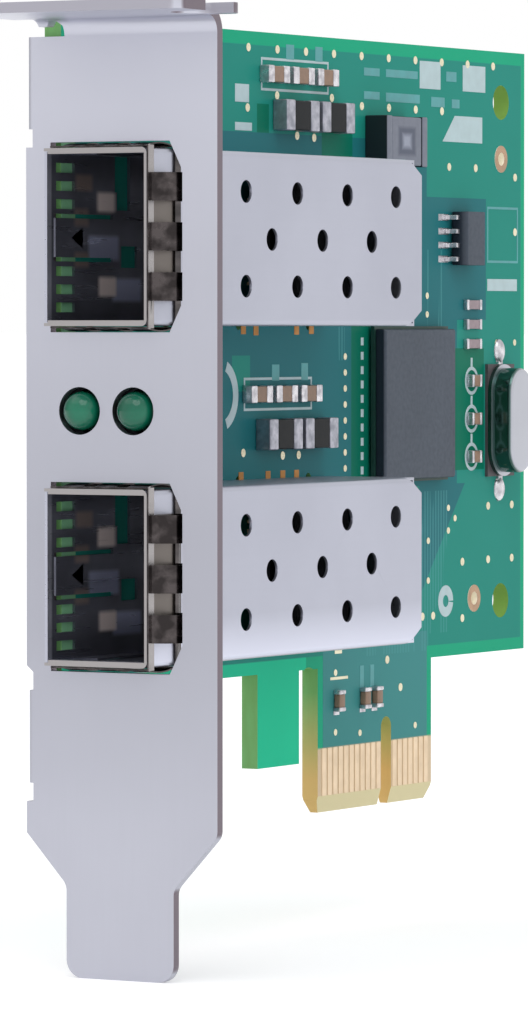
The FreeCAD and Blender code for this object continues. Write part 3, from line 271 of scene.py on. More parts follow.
def bracket_sheet():
    """Bracket sheet: painted shade on cut edges, darker round the lower cage, painted light near the
    top.
    """
    shader = Shader("bracket_plated_steel")
    along, up = shader.axes()
    cloud = shader.noise(45, 4)
    fine = shader.noise(2600, 2, (1, 1, 0.05))
    tone = shader.rolled(BRACKET_STEEL, cloud, fine)
    # Darker round the lower cage's height.
    distance = shader.maths("ABSOLUTE", shader.maths("SUBTRACT", up, CAGES["lower"][1].z - 7 * MM))
    tone = shader.mix(shader.ramp(distance, 20 * MM, 4 * MM), tone, tinted(BRACKET_STEEL, 0.85))
    # Painted light: the sheet is lightened towards the top, below the tab.
    painted_top_light = shader.ramp(up, cad_high.z - 22 * MM, cad_high.z - 8 * MM)
    tone = shader.mix(painted_top_light, tone, tinted(BRACKET_STEEL, 1.10))
    plate_rear = BOARD_LOW.y - PLATE_GAP * MM
    # Painted shade: the cut edges that face sideways, and the tab's front edge, are darkened.
    side = shader.times(shader.ramp(shader.maths("ABSOLUTE", shader.facing()[0]), 0.85, 0.97),
                        shader.ramp(along, plate_rear + 0.10 * MM, plate_rear))
    front = shader.times(shader.ramp(shader.facing()[1], -0.85, -0.97),
                         shader.ramp(up, cad_high.z - 1.0 * MM, cad_high.z - 0.9 * MM, 0.0, 0.4))
    tone = shader.mix(shader.either(side, front), tone, SHADED_CUT_EDGE)
    shader.colour(tone)
    shader.rough(shader.ramp(cloud, 0.3, 0.7, 0.32, 0.42))
    shader.settle(Metallic=0.9)
    shader.satin(fine)
    return shader.material


def cage_sheet():
    """Cage sheet: painted shade on the mouth rim and under the collars, a painted reflection along
    the lower foot.
    """
    shader = Shader("cage_plated_steel")
    along, up = shader.axes()
    front = CAGES["upper"][0].y
    foot = CAGES["lower"][0].z
    cloud = shader.noise(70, 4)
    fine = shader.noise(2600, 2, (1, 0.05, 1))
    tone = shader.rolled(CAGE_STEEL, cloud, fine)
    outward = shader.ramp(shader.facing()[0], 0.6, 0.8)
    # Painted shade: the rim round the mouth that faces the front is darkened.
    rim = shader.times(shader.ramp(shader.facing()[1], -0.5, -0.8),
                       shader.ramp(along, front + 0.3 * MM, front + 0.2 * MM))
    tone = shader.mix(rim, tone, MOUTH_RIM_SHADE)
    # Painted reflection of the bright floor: outward faces near the lower cage's foot are lightened.
    bright = shader.times(shader.ramp(up, foot + 3.8 * MM, foot + 0.4 * MM), outward)
    tone = shader.mix(bright, tone, tinted(CAGE_STEEL, 1.42))
    # Painted shade: outward faces under the collars are darkened, standing in for the collars'
    # shadow.
    bands = []
    for low, high in CAGES.values():
        middle = (low.z + high.z) / 2
        bands.append(shader.between(up, middle - 5.2 * MM, middle + 5.2 * MM))
    mouth = shader.between(along, front + 0.3 * MM, front + 4.4 * MM)
    under = shader.times(shader.times(shader.either(*bands), mouth), outward)
    shader.colour(shader.mix(under, tone, COLLAR_SHADE))
    shader.rough(shader.ramp(cloud, 0.3, 0.7, 0.34, 0.42))
    shader.settle(Metallic=0.9)
    shader.satin(fine)
    return shader.material


def spring_sheet():
    """Spring steel painted dark as a reflection, a painted highlight band round the mouth, streaks
    along fingers.
    """
    shader = Shader("spring_steel")
    along = shader.axes()[0]
    streak = shader.noise(900, 3, (1, 0.12, 1))
    band_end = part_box("spring_collar_upper")[0].y + 1.0 * MM
    # Painted reflection: the steel is set dark, as it mirrors its dark surroundings.
    tone = shader.mix(shader.ramp(streak, 0.42, 0.62), SPRING_STEEL_PAINTED_DARK, tinted(SPRING_STEEL_PAINTED_DARK, 2.6))
    # Painted highlight: a paler band on the ring round the cage's mouth.
    band = shader.times(shader.ramp(along, band_end, band_end - 0.15 * MM),
                        shader.ramp(shader.maths("ABSOLUTE", shader.facing()[1]), 0.3, 0.15))
    shader.colour(shader.mix(band, tone, COLLAR_BAND_HIGHLIGHT))
    shader.rough(shader.ramp(streak, 0.3, 0.7, 0.18, 0.30))
    shader.settle(Metallic=1.0)
    shader.bump(streak, 0.00001, 0.3)
    return shader.material


def bay_sheet():
    """Bay metal with painted shade past the lip, painted highlights, painted reflections and brown
    patches.
    """
    shader = Shader("bay_plated_steel")
    along, up = shader.axes()
    cloud = shader.noise(160, 3)
    fine = shader.noise(2600, 2, (1, 0.05, 1))
    # Painted shade: the metal inside the bays is set dark, as the light hardly reaches it.
    inner_shade = shader.mix(shader.ramp(cloud, 0.35, 0.7), BAY_STEEL_SHADE, tinted(BAY_STEEL_SHADE, 0.7))
    mouth = CAGES["upper"][0].y

    def zone(start, end, low, high):
        """A patch of both bays' floors, from the mouth inwards and from the bay's middle up."""
        bands = []
        for cage_floor, cage_top in CAGES.values():
            middle = (cage_floor.z + cage_top.z) / 2
            bands.append(shader.between(up, middle + low * MM, middle + high * MM, 0.2 * MM))
        reach = shader.between(along, mouth + start * MM, mouth + end * MM, 0.3 * MM)
        return shader.times(shader.either(*bands), reach)

    # Painted reflections: pale patches on the bays' floors.
    glow = shader.either(zone(6.6, 11.4, -1.8, 0.2), zone(10.4, 15.0, -5.2, -3.3))
    # Painted highlights: pale, less metallic patches where the inner tabs catch the light.
    tabs = shader.either(zone(8.0, 10.6, 2.2, 3.8), zone(8.2, 10.8, -4.8, -3.2))
    brown = shader.either(zone(4.6, 7.2, 3.9, 5.2), zone(4.4, 6.6, 1.0, 2.4),
                          zone(4.4, 6.6, -2.4, -1.2))
    colour = shader.mix(shader.times(glow, 0.7), inner_shade, BAY_REFLECTION)
    colour = shader.mix(shader.times(brown, 0.6), colour, BAY_BROWN)
    colour = shader.mix(tabs, colour, TAB_HIGHLIGHT)
    # Painted shade begins just past the lip; the lip itself keeps the cage's steel.
    lip = mouth + 0.75 * MM
    past_lip = shader.ramp(along, lip - 0.1 * MM, lip + 0.15 * MM)
    shader.colour(shader.mix(past_lip, CAGE_STEEL, colour))
    shader.rough(shader.ramp(fine, 0.3, 0.7, 0.26, 0.36))
    metallic = shader.maths("SUBTRACT", 0.8, shader.times(tabs, 0.8))
    shader.join(metallic, shader.surface.inputs["Metallic"])
    shader.satin(fine)
    return shader.material


def moulded_plastic(name, colour, rough, scale=1800, depth=0.00001, variation=0.12, shine=0.5):
    """Moulded plastic with a fine texture and a slight change of tone."""
    shader = Shader(name)
    grain = shader.noise(scale, 3)
    shader.colour(shader.mix(shader.ramp(grain, 0.3, 0.7), tinted(colour, 1 - variation),
                             tinted(colour, 1 + variation)))
    shader.rough(shader.ramp(grain, 0.3, 0.7, rough - 0.05, rough + 0.05))
    shader.settle(Specular_IOR_Level=shine)
    shader.bump(grain, depth, 0.4)
    return shader.material


def gold_plating(name, colour, deeper, rough):
    """Gold or bare copper, a little uneven in tone."""
    shader = Shader(name)
    cloud = shader.noise(700, 3)
    shader.colour(shader.mix(shader.ramp(cloud, 0.35, 0.7), colour, deeper))
    shader.rough(shader.ramp(cloud, 0.3, 0.7, rough - 0.05, rough + 0.08))
    shader.settle(Metallic=0.75)
    shader.bump(cloud, 0.00001, 0.3)
    return shader.material


def hole_plating():
    """The plated holes' gold: a darker brownish ring on each face round a barrel painted light."""
    shader = Shader("hole_gold")
    cloud = shader.noise(700, 3)
    ring = shader.mix(shader.ramp(cloud, 0.35, 0.7), RING_GOLD, tinted(RING_GOLD, 0.8))
    flat = shader.ramp(shader.maths("ABSOLUTE", shader.facing()[0]), 0.5, 0.8)
    # Painted light: the barrel is pale and not metallic, standing in for light seen through the
    # hole.
    shader.colour(shader.mix(flat, BARREL_LIGHT, ring))
    shader.rough(shader.ramp(cloud, 0.3, 0.7, 0.25, 0.38))
    shader.join(shader.times(flat, 0.7), shader.surface.inputs["Metallic"])
    return shader.material


def tinned_metal(name, bright, dull, rough=0.3):
    """Solder and tin: bright metal with a slightly grainy, uneven skin."""
    shader = Shader(name)
    cloud = shader.noise(1500, 3)
    shader.colour(shader.mix(shader.ramp(cloud, 0.35, 0.65), bright, dull))
    shader.rough(shader.ramp(cloud, 0.3, 0.7, rough - 0.1, rough + 0.1))
    shader.settle(Metallic=0.85)
    shader.bump(cloud, 0.00002, 0.3)
    return shader.material


class BoardPattern:
    """Masks for the board's artwork, placed in millimetres from its front edge and contact tips."""

    def __init__(self, shader):
        self.shader = shader
        self.along, self.up = shader.axes()

    def within(self, value, low, high):
        """1 where a value lies between two places, and 0 elsewhere."""
        item = self.shader.node("ShaderNodeMath", operation="COMPARE")
        self.shader.feed(value, item.inputs[0])
        item.inputs[1].default_value = (low + high) / 2
        item.inputs[2].default_value = (high - low) / 2
        return item.outputs[0]

    def patch(self, front, rear, low, high):
        """A rectangle on the board."""
        return self.shader.times(
            self.within(self.along, BOARD_LOW.y + front * MM, BOARD_LOW.y + rear * MM),
            self.within(self.up, BOARD_LOW.z + low * MM, BOARD_LOW.z + high * MM))

    def above(self, along, up, rise):
        """1 above a line that passes through a place and climbs by rise for each unit along."""
        shader = self.shader
        run = shader.maths("SUBTRACT", self.along, BOARD_LOW.y + along * MM)
        line = shader.maths("ADD", shader.times(run, rise), BOARD_LOW.z + up * MM)
        return shader.maths("LESS_THAN", line, self.up)

    def lines(self, value, pitch, share):
        """Parallel lines a pitch apart, each filling a share of it."""
        wave = self.shader.maths("SINE", self.shader.times(value, 2 * math.pi / (pitch * MM)))
        edge = math.cos(math.pi * share)
        return self.shader.ramp(wave, edge - 0.15, edge + 0.15)


def copper_planes(board):
    """The deeper planes under the mask, between and behind the cages and below the controller."""
    shader = board.shader
    top = board.patch(24, 63.4, 54.7, 59.8)
    middle = shader.either(board.patch(24, 75.0, 43.6, 54.8), board.patch(24, 69.3, 28.5, 43.7))
    foot = shader.times(board.patch(62, 71.5, 19.0, 28.6), board.above(64.5, 21.2, 1.16))
    return shader.less(shader.either(top, middle, foot), board.patch(28.0, 31.1, 37.4, 40.5))


def trace_bundles(board):
    """Fine parallel traces in a few upright bundles, with gaps between them."""
    shader = board.shader
    broken = shader.ramp(shader.noise(420, 1, (1, 1, 0.16)), 0.47, 0.50)
    upright = shader.times(board.lines(board.along, 0.52, 0.5), broken)
    zones = shader.either(board.patch(62, 67.5, 15, 28), board.patch(52, 64, 13.5, 19),
                          board.patch(63.5, 66.5, 43, 50), board.patch(46.0, 48.0, 40, 43))
    return shader.times(upright, zones)


def board_edges(shader, up, along):
    """Bare laminate on the cut edges: yellow green, turning to gold beside the contacts."""
    fibre = shader.noise(1500, 3, (1, 0.2, 0.2))
    near = shader.ramp(along, BOARD_LOW.y + 60 * MM, BOARD_LOW.y + 50 * MM)
    wall = shader.mix(near, LAMINATE, LAMINATE_FRONT)
    wall = shader.mix(shader.ramp(fibre, 0.3, 0.7, 0.0, 0.3), wall, tinted(LAMINATE, 0.75))
    beside = shader.between(along, CONTACTS_LOW.y - 2.1 * MM, CONTACTS_HIGH.y + 1.0 * MM)
    foot = shader.ramp(up, CONTACTS_HIGH.z + 5 * MM, CONTACTS_LOW.z + 1.5 * MM)
    return shader.mix(shader.times(foot, beside), wall, LAMINATE_GOLD)


def solder_mask():
    """Green solder mask: margins without copper, deeper planes, traces and the bare cut edges."""
    shader = Shader("board_solder_mask")
    board = BoardPattern(shader)
    along, up = board.along, board.up
    lower_cage = CAGES["lower"][0].z
    margin = 1.15 * MM
    inside = shader.times(
        shader.between(along, BOARD_LOW.y + margin, BOARD_HIGH.y - margin * 0.6),
        shader.between(up, lower_cage - 1.4 * MM, BOARD_HIGH.z - margin))
    tongue = shader.times(
        shader.between(along, CONTACTS_LOW.y + 0.2 * MM, CONTACTS_HIGH.y - 0.1 * MM),
        shader.between(up, CONTACTS_HIGH.z, lower_cage))
    copper = shader.either(inside, tongue)
    component_side = shader.maths("GREATER_THAN", shader.facing()[0], 0.5)
    planes = shader.either(shader.times(copper_planes(board), component_side), tongue)
    traces = shader.times(trace_bundles(board), copper)

    cloud = shader.noise(60, 3)
    colour = shader.mix(copper, BARE_MASK, GROUND_MASK)
    # Painted light: the bare leg is lightened against the shade it lies in.
    lit_leg = shader.less(board.patch(-1, 41, -3, 17), copper)
    colour = shader.mix(lit_leg, colour, tinted(BARE_MASK, 1.5))
    fingers = shader.times(board.patch(0, 2.2, 16, 60), component_side)
    colour = shader.mix(fingers, colour, FRONT_MASK)
    colour = shader.mix(planes, colour, PLANE_MASK)
    colour = shader.mix(shader.times(tongue, component_side), colour, TONGUE_MASK)
    dark = shader.either(board.patch(49.2, 52.8, 28.0, 43.5), board.patch(66.3, 74.6, 29.8, 41.0),
                         board.patch(32.3, 34.4, 59.8, 62.3), board.patch(43.8, 49.4, 56.0, 61.4))
    colour = shader.mix(shader.times(shader.times(dark, component_side), 0.85), colour, DARK_MASK)
    colour = shader.mix(shader.times(traces, 0.4), colour, PALE_MASK)
    colour = shader.mix(shader.ramp(cloud, 0.3, 0.7, 0.0, 0.12), colour, DARK_MASK)

    level = shader.maths("ABSOLUTE", shader.facing()[0])
    face = shader.ramp(level, 0.97, 0.995)
    colour = shader.mix(face, board_edges(shader, up, along), colour)
    bare = shader.times(
        shader.between(along, CONTACTS_LOW.y - 2.1 * MM, CONTACTS_HIGH.y + 1.0 * MM),
        shader.ramp(up, CONTACTS_HIGH.z + 0.1 * MM, CONTACTS_HIGH.z - 0.1 * MM))
    bare = shader.times(bare, shader.ramp(level, 0.7, 0.8))
    shader.colour(shader.mix(bare, colour, shader.mix(face, GOLD_EDGE, GOLD_GAP)))

    shader.rough(shader.ramp(cloud, 0.3, 0.7, 0.30, 0.36))
    shader.settle(Specular_IOR_Level=0.06)
    raised = shader.either(shader.times(traces, 0.5), shader.times(copper, 0.5))
    shader.bump(raised, 0.00003, 0.5)
    return shader.material


def lamp_plastic():
    """Green epoxy, with painted shade deepening it towards its rim."""
    shader = Shader("lamp_green")
    cloud = shader.noise(400, 2)
    core = shader.mix(shader.ramp(cloud, 0.3, 0.7), LAMP_CORE, LAMP_CLOUD)
    # Painted shade: darker where the lens turns away from the camera.
    rim = shader.node("ShaderNodeLayerWeight")
    rim.inputs["Blend"].default_value = 0.45
    shader.colour(shader.mix(rim.outputs["Facing"], core, LAMP_RIM_SHADE))
    shader.rough(shader.ramp(cloud, 0.3, 0.7, 0.10, 0.18))
    shader.settle(Specular_IOR_Level=0.35, Coat_Weight=0.2, Coat_Roughness=0.10)
    return shader.material


def chip_top():
    """Black moulding compound: a sanded top, and side walls darkened with painted shade."""
    shader = Shader("chip_moulding")
    grain = shader.noise(2400, 4)
    cloud = shader.noise(120, 3)
    tone = shader.mix(shader.ramp(cloud, 0.3, 0.7), tinted(CHIP_BLACK, 0.92),
                      tinted(CHIP_BLACK, 1.1))
    tone = shader.mix(shader.ramp(grain, 0.35, 0.65, 0.0, 0.25), tone, tinted(CHIP_BLACK, 0.6))
    # Painted shade: the side walls are darkened.
    wall = shader.ramp(shader.facing()[0], 0.75, 0.35)
    shader.colour(shader.mix(wall, tone, CHIP_WALL_SHADE))
    shader.rough(shader.ramp(grain, 0.3, 0.7, 0.5, 0.6))
    shader.settle(Specular_IOR_Level=0.3)
    shader.bump(grain, 0.00002, 0.5)
    return shader.material


def inductor_top():
    """A power inductor: black walls and a grey top with a paler middle inside a darker square."""
    shader = Shader("inductor_moulding")
    along, up = shader.axes()
    low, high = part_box("power_inductor")
    middle, half = (low + high) / 2, (high - low) / 2
    run = shader.maths("ABSOLUTE", shader.maths("SUBTRACT", along, middle.y))
    rise = shader.maths("ABSOLUTE", shader.maths("SUBTRACT", up, middle.z))
    reach = shader.maths("MAXIMUM", shader.times(run, 1 / half.y), shader.times(rise, 1 / half.z))
    grain = shader.noise(1500, 3)
    tone = shader.mix(shader.ramp(reach, 0.15, 0.38), WINDING_PALE, WINDING_DARK)
    tone = shader.mix(shader.ramp(reach, 0.48, 0.66), tone, tinted(WINDING_PALE, 0.6))
    tone = shader.mix(shader.ramp(grain, 0.3, 0.7, 0.0, 0.2), tone, WINDING_DARK)
    shader.colour(shader.mix(shader.ramp(shader.facing()[0], 0.35, 0.75), FERRITE_WALL, tone))
    shader.rough(shader.ramp(grain, 0.3, 0.7, 0.4, 0.5))
    shader.settle(Specular_IOR_Level=0.2)
    shader.bump(grain, 0.00001, 0.4)
    return shader.material


def drawn_can():
    """A drawn can: a satin top over a polished side with a painted reflection of the green board."""
    shader = Shader("can_drawn_steel")
    cloud = shader.noise(150, 3)
    fine = shader.noise(2600, 2, (1, 1, 0.1))
    top = shader.mix(shader.ramp(cloud, 0.35, 0.7), CAN_STEEL, tinted(CAN_STEEL, 0.93))
    # Painted reflection of the green board on the polished side.
    side = shader.mix(shader.ramp(cloud, 0.35, 0.7), CAN_SIDE_REFLECTION, tinted(CAN_SIDE_REFLECTION, 0.7))
    flat = shader.ramp(shader.facing()[0], 0.5, 0.8)
    shader.colour(shader.mix(flat, side, top))
    shader.rough(shader.ramp(flat, 0.0, 1.0, 0.12, 0.30))
    shader.settle(Metallic=0.9)
    shader.satin(fine)
    return shader.material


bracket_metal = bracket_sheet()
cage_metal = cage_sheet()
shaded_bay_metal = bay_sheet()
spring_metal = spring_sheet()
can_metal = drawn_can()
screw_metal = screw_plating()
mask = solder_mask()
gold = gold_plating("contact_gold", GOLD, tinted(GOLD, 0.9), 0.42)
gold_rim = hole_plating()
tin = tinned_metal("tinned_solder", linear(228, 226, 230), linear(180, 178, 184))
grey_tin = tinned_metal("dull_tin", linear(182, 182, 192), linear(148, 150, 160), 0.4)
black_nylon = moulded_plastic("black_nylon", linear(34, 35, 40), 0.5, shine=0.3)
substrate = moulded_plastic("chip_substrate", linear(22, 60, 52), 0.45)
ceramic = moulded_plastic("capacitor_ceramic", linear(146, 118, 98), 0.5)
ferrite = moulded_plastic("choke_ferrite", linear(24, 27, 30), 0.4, shine=0.12)
seat_plastic = moulded_plastic("seat_plastic", linear(78, 72, 76), 0.5)
resistor_glaze = moulded_plastic("resistor_glaze", linear(150, 132, 138), 0.35)
moulding = chip_top()
winding = inductor_top()
lamp = lamp_plastic()
printed_ink = moulded_plastic("printed_ink", SILK, 0.55, 900, 0.000004, 0.05)
thin_ink = moulded_plastic("thin_ink", PALE_MASK, 0.55, 900, 0.000004, 0.08)
bare_copper = gold_plating("bare_copper", COPPER, tinted(COPPER, 0.8), 0.4)
via_gold = gold_plating("via_gold", PAD_GOLD, tinted(PAD_GOLD, 0.9), 0.4)


# ------------------------------------------------------------------ mesh helpers

def only(item):
    """Selects one object and makes it the active one."""
    bpy.ops.object.select_all(action="DESELECT")
    item.select_set(True)
    bpy.context.view_layer.objects.active = item


def apply_modifier(piece, kind, **settings):
    """Adds a modifier with its settings to the active piece, and applies it."""
    modifier = piece.modifiers.new(kind.lower(), kind)
    for name, value in settings.items():
        setattr(modifier, name, value)
    bpy.ops.object.modifier_apply(modifier=modifier.name)


def finish(piece, material, slot_name, *nodes):
    """Gives a finished piece its material, its body and the CAD nodes it stands for."""
    piece.data.materials.clear()
    piece.data.materials.append(material)
    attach(piece, "root")
    if nodes:
        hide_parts(*nodes)
    return piece


def dress(node, material):
    """Gives a CAD node that keeps its shape its better material."""
    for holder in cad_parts[node].material_slots:
        holder.material = material


def softened(node, width):
    """A copy of a CAD node with its faces merged and, given a width, its sharp edges bevelled."""
    piece = bpy.data.objects.new(node + "_finished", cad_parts[node].data.copy())
    bpy.context.scene.collection.objects.link(piece)
    only(piece)
    bpy.ops.object.mode_set(mode="EDIT")
    bpy.ops.mesh.select_all(action="SELECT")
    bpy.ops.mesh.remove_doubles(threshold=0.002 * MM)
    bpy.ops.mesh.dissolve_limited(angle_limit=math.radians(0.5))
    bpy.ops.object.mode_set(mode="OBJECT")
    bpy.ops.object.shade_smooth()
    if width:
        apply_modifier(piece, "BEVEL", width=width * MM, segments=2, limit_method="ANGLE",
                       angle_limit=SHARP, miter_outer="MITER_ARC")
        apply_modifier(piece, "WEIGHTED_NORMAL", mode="FACE_AREA", weight=60)
    else:
        bpy.ops.object.shade_smooth_by_angle(angle=SHARP)
    return piece


def refine(node, width, material, slot_name):
    """Stands a softened copy, with a better material, in a CAD node's place."""
    return finish(softened(node, width), material, slot_name, node)


def settle_in_place(piece):
    """Leaves the object at the origin, with its place in its mesh and its faces outwards."""
    only(piece)
    bpy.ops.object.transform_apply(location=True, rotation=True, scale=True)
    bpy.ops.object.mode_set(mode="EDIT")
    bpy.ops.mesh.select_all(action="SELECT")
    bpy.ops.mesh.normals_make_consistent(inside=False)
    bpy.ops.mesh.select_all(action="DESELECT")
    bpy.ops.object.mode_set(mode="OBJECT")
    return piece


def choose_faces(piece, wanted):
    """Selects the faces that pass a test, and goes into edit mode."""
    only(piece)
    bpy.ops.object.mode_set(mode="EDIT")
    bpy.ops.mesh.select_mode(type="FACE")
    bpy.ops.mesh.select_all(action="DESELECT")
    bpy.ops.object.mode_set(mode="OBJECT")
    for face in piece.data.polygons:
        face.select = wanted(face)
    bpy.ops.object.mode_set(mode="EDIT")


def copied(piece, name, shift):
    """A copy of a finished piece with its own mesh, moved by shift."""
    twin = bpy.data.objects.new(name, piece.data.copy())
    bpy.context.scene.collection.objects.link(twin)
    twin.location = shift
    return settle_in_place(twin)


def joined(pieces, name):
    """Makes one named piece of several."""
    bpy.ops.object.select_all(action="DESELECT")
    for piece in pieces:
        piece.select_set(True)
    bpy.context.view_layer.objects.active = pieces[0]
    bpy.ops.object.join()
    pieces[0].name = name
    return pieces[0]


def on_board(along, up, height=0.0):
    """A place on the component face, in millimetres from the board's front edge and contact tips."""
    return Vector((BOARD_HIGH.x + height * MM, BOARD_LOW.y + along * MM, BOARD_LOW.z + up * MM))


def behind_board(along, up, height=0.0):
    """The same place on the solder face."""
    return Vector((BOARD_LOW.x - height * MM, BOARD_LOW.y + along * MM, BOARD_LOW.z + up * MM))


def box_of(*nodes):
    """The box round several nodes, in millimetres on the board's face."""
    boxes = [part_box(node) for node in nodes]
    front = min(low.y for low, high in boxes) - BOARD_LOW.y
    rear = max(high.y for low, high in boxes) - BOARD_LOW.y
    foot = min(low.z for low, high in boxes) - BOARD_LOW.z
    top = max(high.z for low, high in boxes) - BOARD_LOW.z
    return front / MM, rear / MM, foot / MM, top / MM


def row(along, up, pitch, count):
    """Evenly spaced places on the board, along it by the first pitch and up it by the second."""
    return [(along + pitch[0] * number, up + pitch[1] * number) for number in range(count)]


# ------------------------------------------------------------------ printed and plated detail

# Thickness of plated rings and of printed marks, in millimetres
SKIN = 0.035
INK = SKIN * 0.6


def plated_ring(size, sides=12):
    """One plated via: a thin disc whose middle is sunk to the hole."""
    bpy.ops.object.select_all(action="DESELECT")
    bpy.ops.mesh.primitive_cylinder_add(vertices=sides, radius=size / 2 * MM, depth=SKIN * MM,
                                        rotation=(0, math.pi / 2, 0))
    ring = settle_in_place(bpy.context.object)
    choose_faces(ring, lambda face: face.normal.x > UPRIGHT)
    bpy.ops.mesh.inset(thickness=size * 0.26 * MM, depth=0)
    bpy.ops.mesh.inset(thickness=size * 0.05 * MM, depth=-SKIN * 0.8 * MM)
    bpy.ops.object.mode_set(mode="OBJECT")
    return ring


def add_vias():
    """Vias on both faces: rows along the top, a column by the controller and single ones."""
    large = (row(30.8, 67.1, (5.06, 0), 10) + row(51.1, 62.65, (5.06, 0), 4)
             + row(67.7, 57.6, (5.2, 0), 2) + row(80.8, 51.8, (0, 5.1), 2)
             + row(75.45, 21.4, (4.75, 0), 2) + row(75.45, 26.37, (4.75, 0), 2)
             + row(36.8, 31.75, (2.83, 0), 2) + row(70.35, 16.15, (0, 5.2), 2)
             + row(62.6, 16.6, (2.05, 0), 2)
             + [(30.65, 61.9), (29.9, 32.1), (55.9, 13.0), (58.4, 10.4), (39.35, 59.7), (42.4, 59.6),
                (35.8, 63.1), (45.6, 63.2)])
    small = (row(48.05, 30.4, (0, 1.42), 8) + row(63.45, 44.1, (0, 1.7), 2)
             + row(63.7, 19.85, (0, 3.63), 2) + row(67.6, 24.3, (0, 2.08), 2)
             + row(77.1, 41.5, (3.65, 0), 2) + row(46.3, 7.0, (4.5, -0.3), 2)
             + [(68.9, 25.4), (61.2, 6.8), (46.3, 12.3)])
    for name, size, places in (("large", 0.74, large), ("small", 0.60, small)):
        ring = plated_ring(size)
        rings = [copied(ring, "via", on_board(*place, SKIN / 2)) for place in places]
        only(ring)
        bpy.ops.transform.mirror(orient_type="GLOBAL", constraint_axis=(True, False, False))
        ring = settle_in_place(ring)
        rings += [copied(ring, "via", behind_board(*place, SKIN / 2)) for place in places]
        bpy.data.objects.remove(ring)
        finish(joined(rings, "via_rings_" + name), via_gold, "gold")


def flat_print(front, rear, low, high, line=None):
    """A thin printed patch on the component face, or only its outline of the given width."""
    middle = on_board((front + rear) / 2, (low + high) / 2, INK / 2)
    bpy.ops.object.select_all(action="DESELECT")
    bpy.ops.mesh.primitive_cube_add(size=1, location=middle,
                                    scale=(INK * MM, (rear - front) * MM, (high - low) * MM))
    patch = settle_in_place(bpy.context.object)
    if line:
        choose_faces(patch, lambda face: abs(face.normal.x) > UPRIGHT)
        bpy.ops.mesh.inset(thickness=line * MM, depth=0, use_individual=True)
        bpy.ops.mesh.bridge_edge_loops()
    else:
        choose_faces(patch, lambda face: face.normal.x > UPRIGHT)
        bpy.ops.mesh.inset(thickness=0.06 * MM, depth=INK / 2 * MM)
    bpy.ops.object.mode_set(mode="OBJECT")
    return patch


def printed_arc(along, up, radius, line, start, sweep, steps):
    """A printed band that turns round a centre on the component face."""
    bpy.ops.object.select_all(action="DESELECT")
    middle = on_board(along, up, INK / 2)
    edge = middle + Vector((0, math.cos(start), math.sin(start))) * radius * MM
    bpy.ops.mesh.primitive_cube_add(size=1, location=edge, rotation=(start, 0, 0),
                                    scale=(INK * MM, line * MM, 0.02 * MM))
    band = settle_in_place(bpy.context.object)
    forward = Vector((0, -math.sin(start), math.cos(start)))
    choose_faces(band, lambda face: face.normal.dot(forward) > UPRIGHT)
    bpy.ops.mesh.spin(steps=steps, angle=-sweep, center=middle, axis=(1, 0, 0))
    bpy.ops.object.mode_set(mode="OBJECT")
    return settle_in_place(band)


def sloped_print(front, rear, low, high):
    """A printed patch whose front side slopes back from its foot to its top."""
    patch = flat_print(front, rear, low, high)
    only(patch)
    bpy.ops.object.mode_set(mode="EDIT")
    bpy.ops.mesh.select_all(action="SELECT")
    rise, run = high - low, (rear - front) * 0.6
    bpy.ops.mesh.bisect(plane_co=on_board(front, low), plane_no=(0, rise, -run),
                        use_fill=True, clear_inner=True)
    bpy.ops.object.mode_set(mode="OBJECT")
    return settle_in_place(patch)


def outline_round(nodes, spare, line):
    """A printed outline that leaves some room round a group of parts."""
    front, rear, low, high = box_of(*nodes)
    return flat_print(front - spare, rear + spare, low - spare, high + spare, line)


def add_printing():
    """Plain outlines, rings, dashes and blank label boxes, with no lettering."""
    rows = [["filter_capacitor_%d" % number for number in numbers]
            for numbers in ((1, 2, 3), (4, 5, 6))]
    pieces = [outline_round(names, 0.75, 0.22) for names in rows]
    for number in range(1, 4):
        front, rear, low, high = box_of("core_capacitor_%d" % number)
        pieces.append(printed_arc((front + rear) / 2, (low + high) / 2, 1.15, 0.32, 0.4, 5.9, 20))
        middle = (front + rear) / 2
        pieces.append(flat_print(middle - 0.18, middle + 0.18, high + 0.75, high + 1.6))
    pieces += [
        flat_print(62.0, 66.0, 64.6, 67.1), flat_print(70.35, 74.8, 64.6, 67.0),
        flat_print(75.25, 81.2, 46.3, 47.4), flat_print(28.5, 30.9, 62.35, 63.9),
        flat_print(28.5, 31.4, 59.9, 60.6), sloped_print(66.4, 74.2, 59.9, 62.3),
        printed_arc(67.1, 17.85, 1.0, 0.9, 0.0, 2 * math.pi * 0.98, 24),
        printed_arc(25.9, 37.1, 2.7, 0.9, -1.15, 2.3, 18)]
    dash = flat_print(50.95, 51.45, 29.8, 30.5)
    pieces += [copied(dash, "dash", Vector((0, 0, 1.28 * MM)) * number) for number in range(1, 10)]
    finish(joined(pieces + [dash], "printed_marks"), printed_ink, "board_laminate")
    faint = [flat_print(34.9, 36.2, 38.3, 39.7), flat_print(40.1, 41.3, 38.3, 39.8),
             flat_print(37.4, 38.8, 66.3, 67.6), flat_print(42.6, 43.9, 66.3, 67.6),
             flat_print(51.5, 54.4, 63.3, 64.0), flat_print(55.6, 62.0, 63.2, 64.0),
             flat_print(51.5, 54.4, 65.4, 66.1), flat_print(55.6, 61.6, 65.4, 66.1),
             flat_print(67.1, 69.1, 65.4, 66.3), flat_print(64.2, 66.8, 63.0, 63.9),
             flat_print(68.2, 69.7, 63.0, 63.8), flat_print(75.2, 81.4, 48.9, 54.1, 0.22),
             flat_print(50.8, 51.5, 10.6, 12.7), flat_print(52.7, 53.4, 10.6, 12.7)]
    finish(joined(faint, "faint_marks"), thin_ink, "board_laminate")


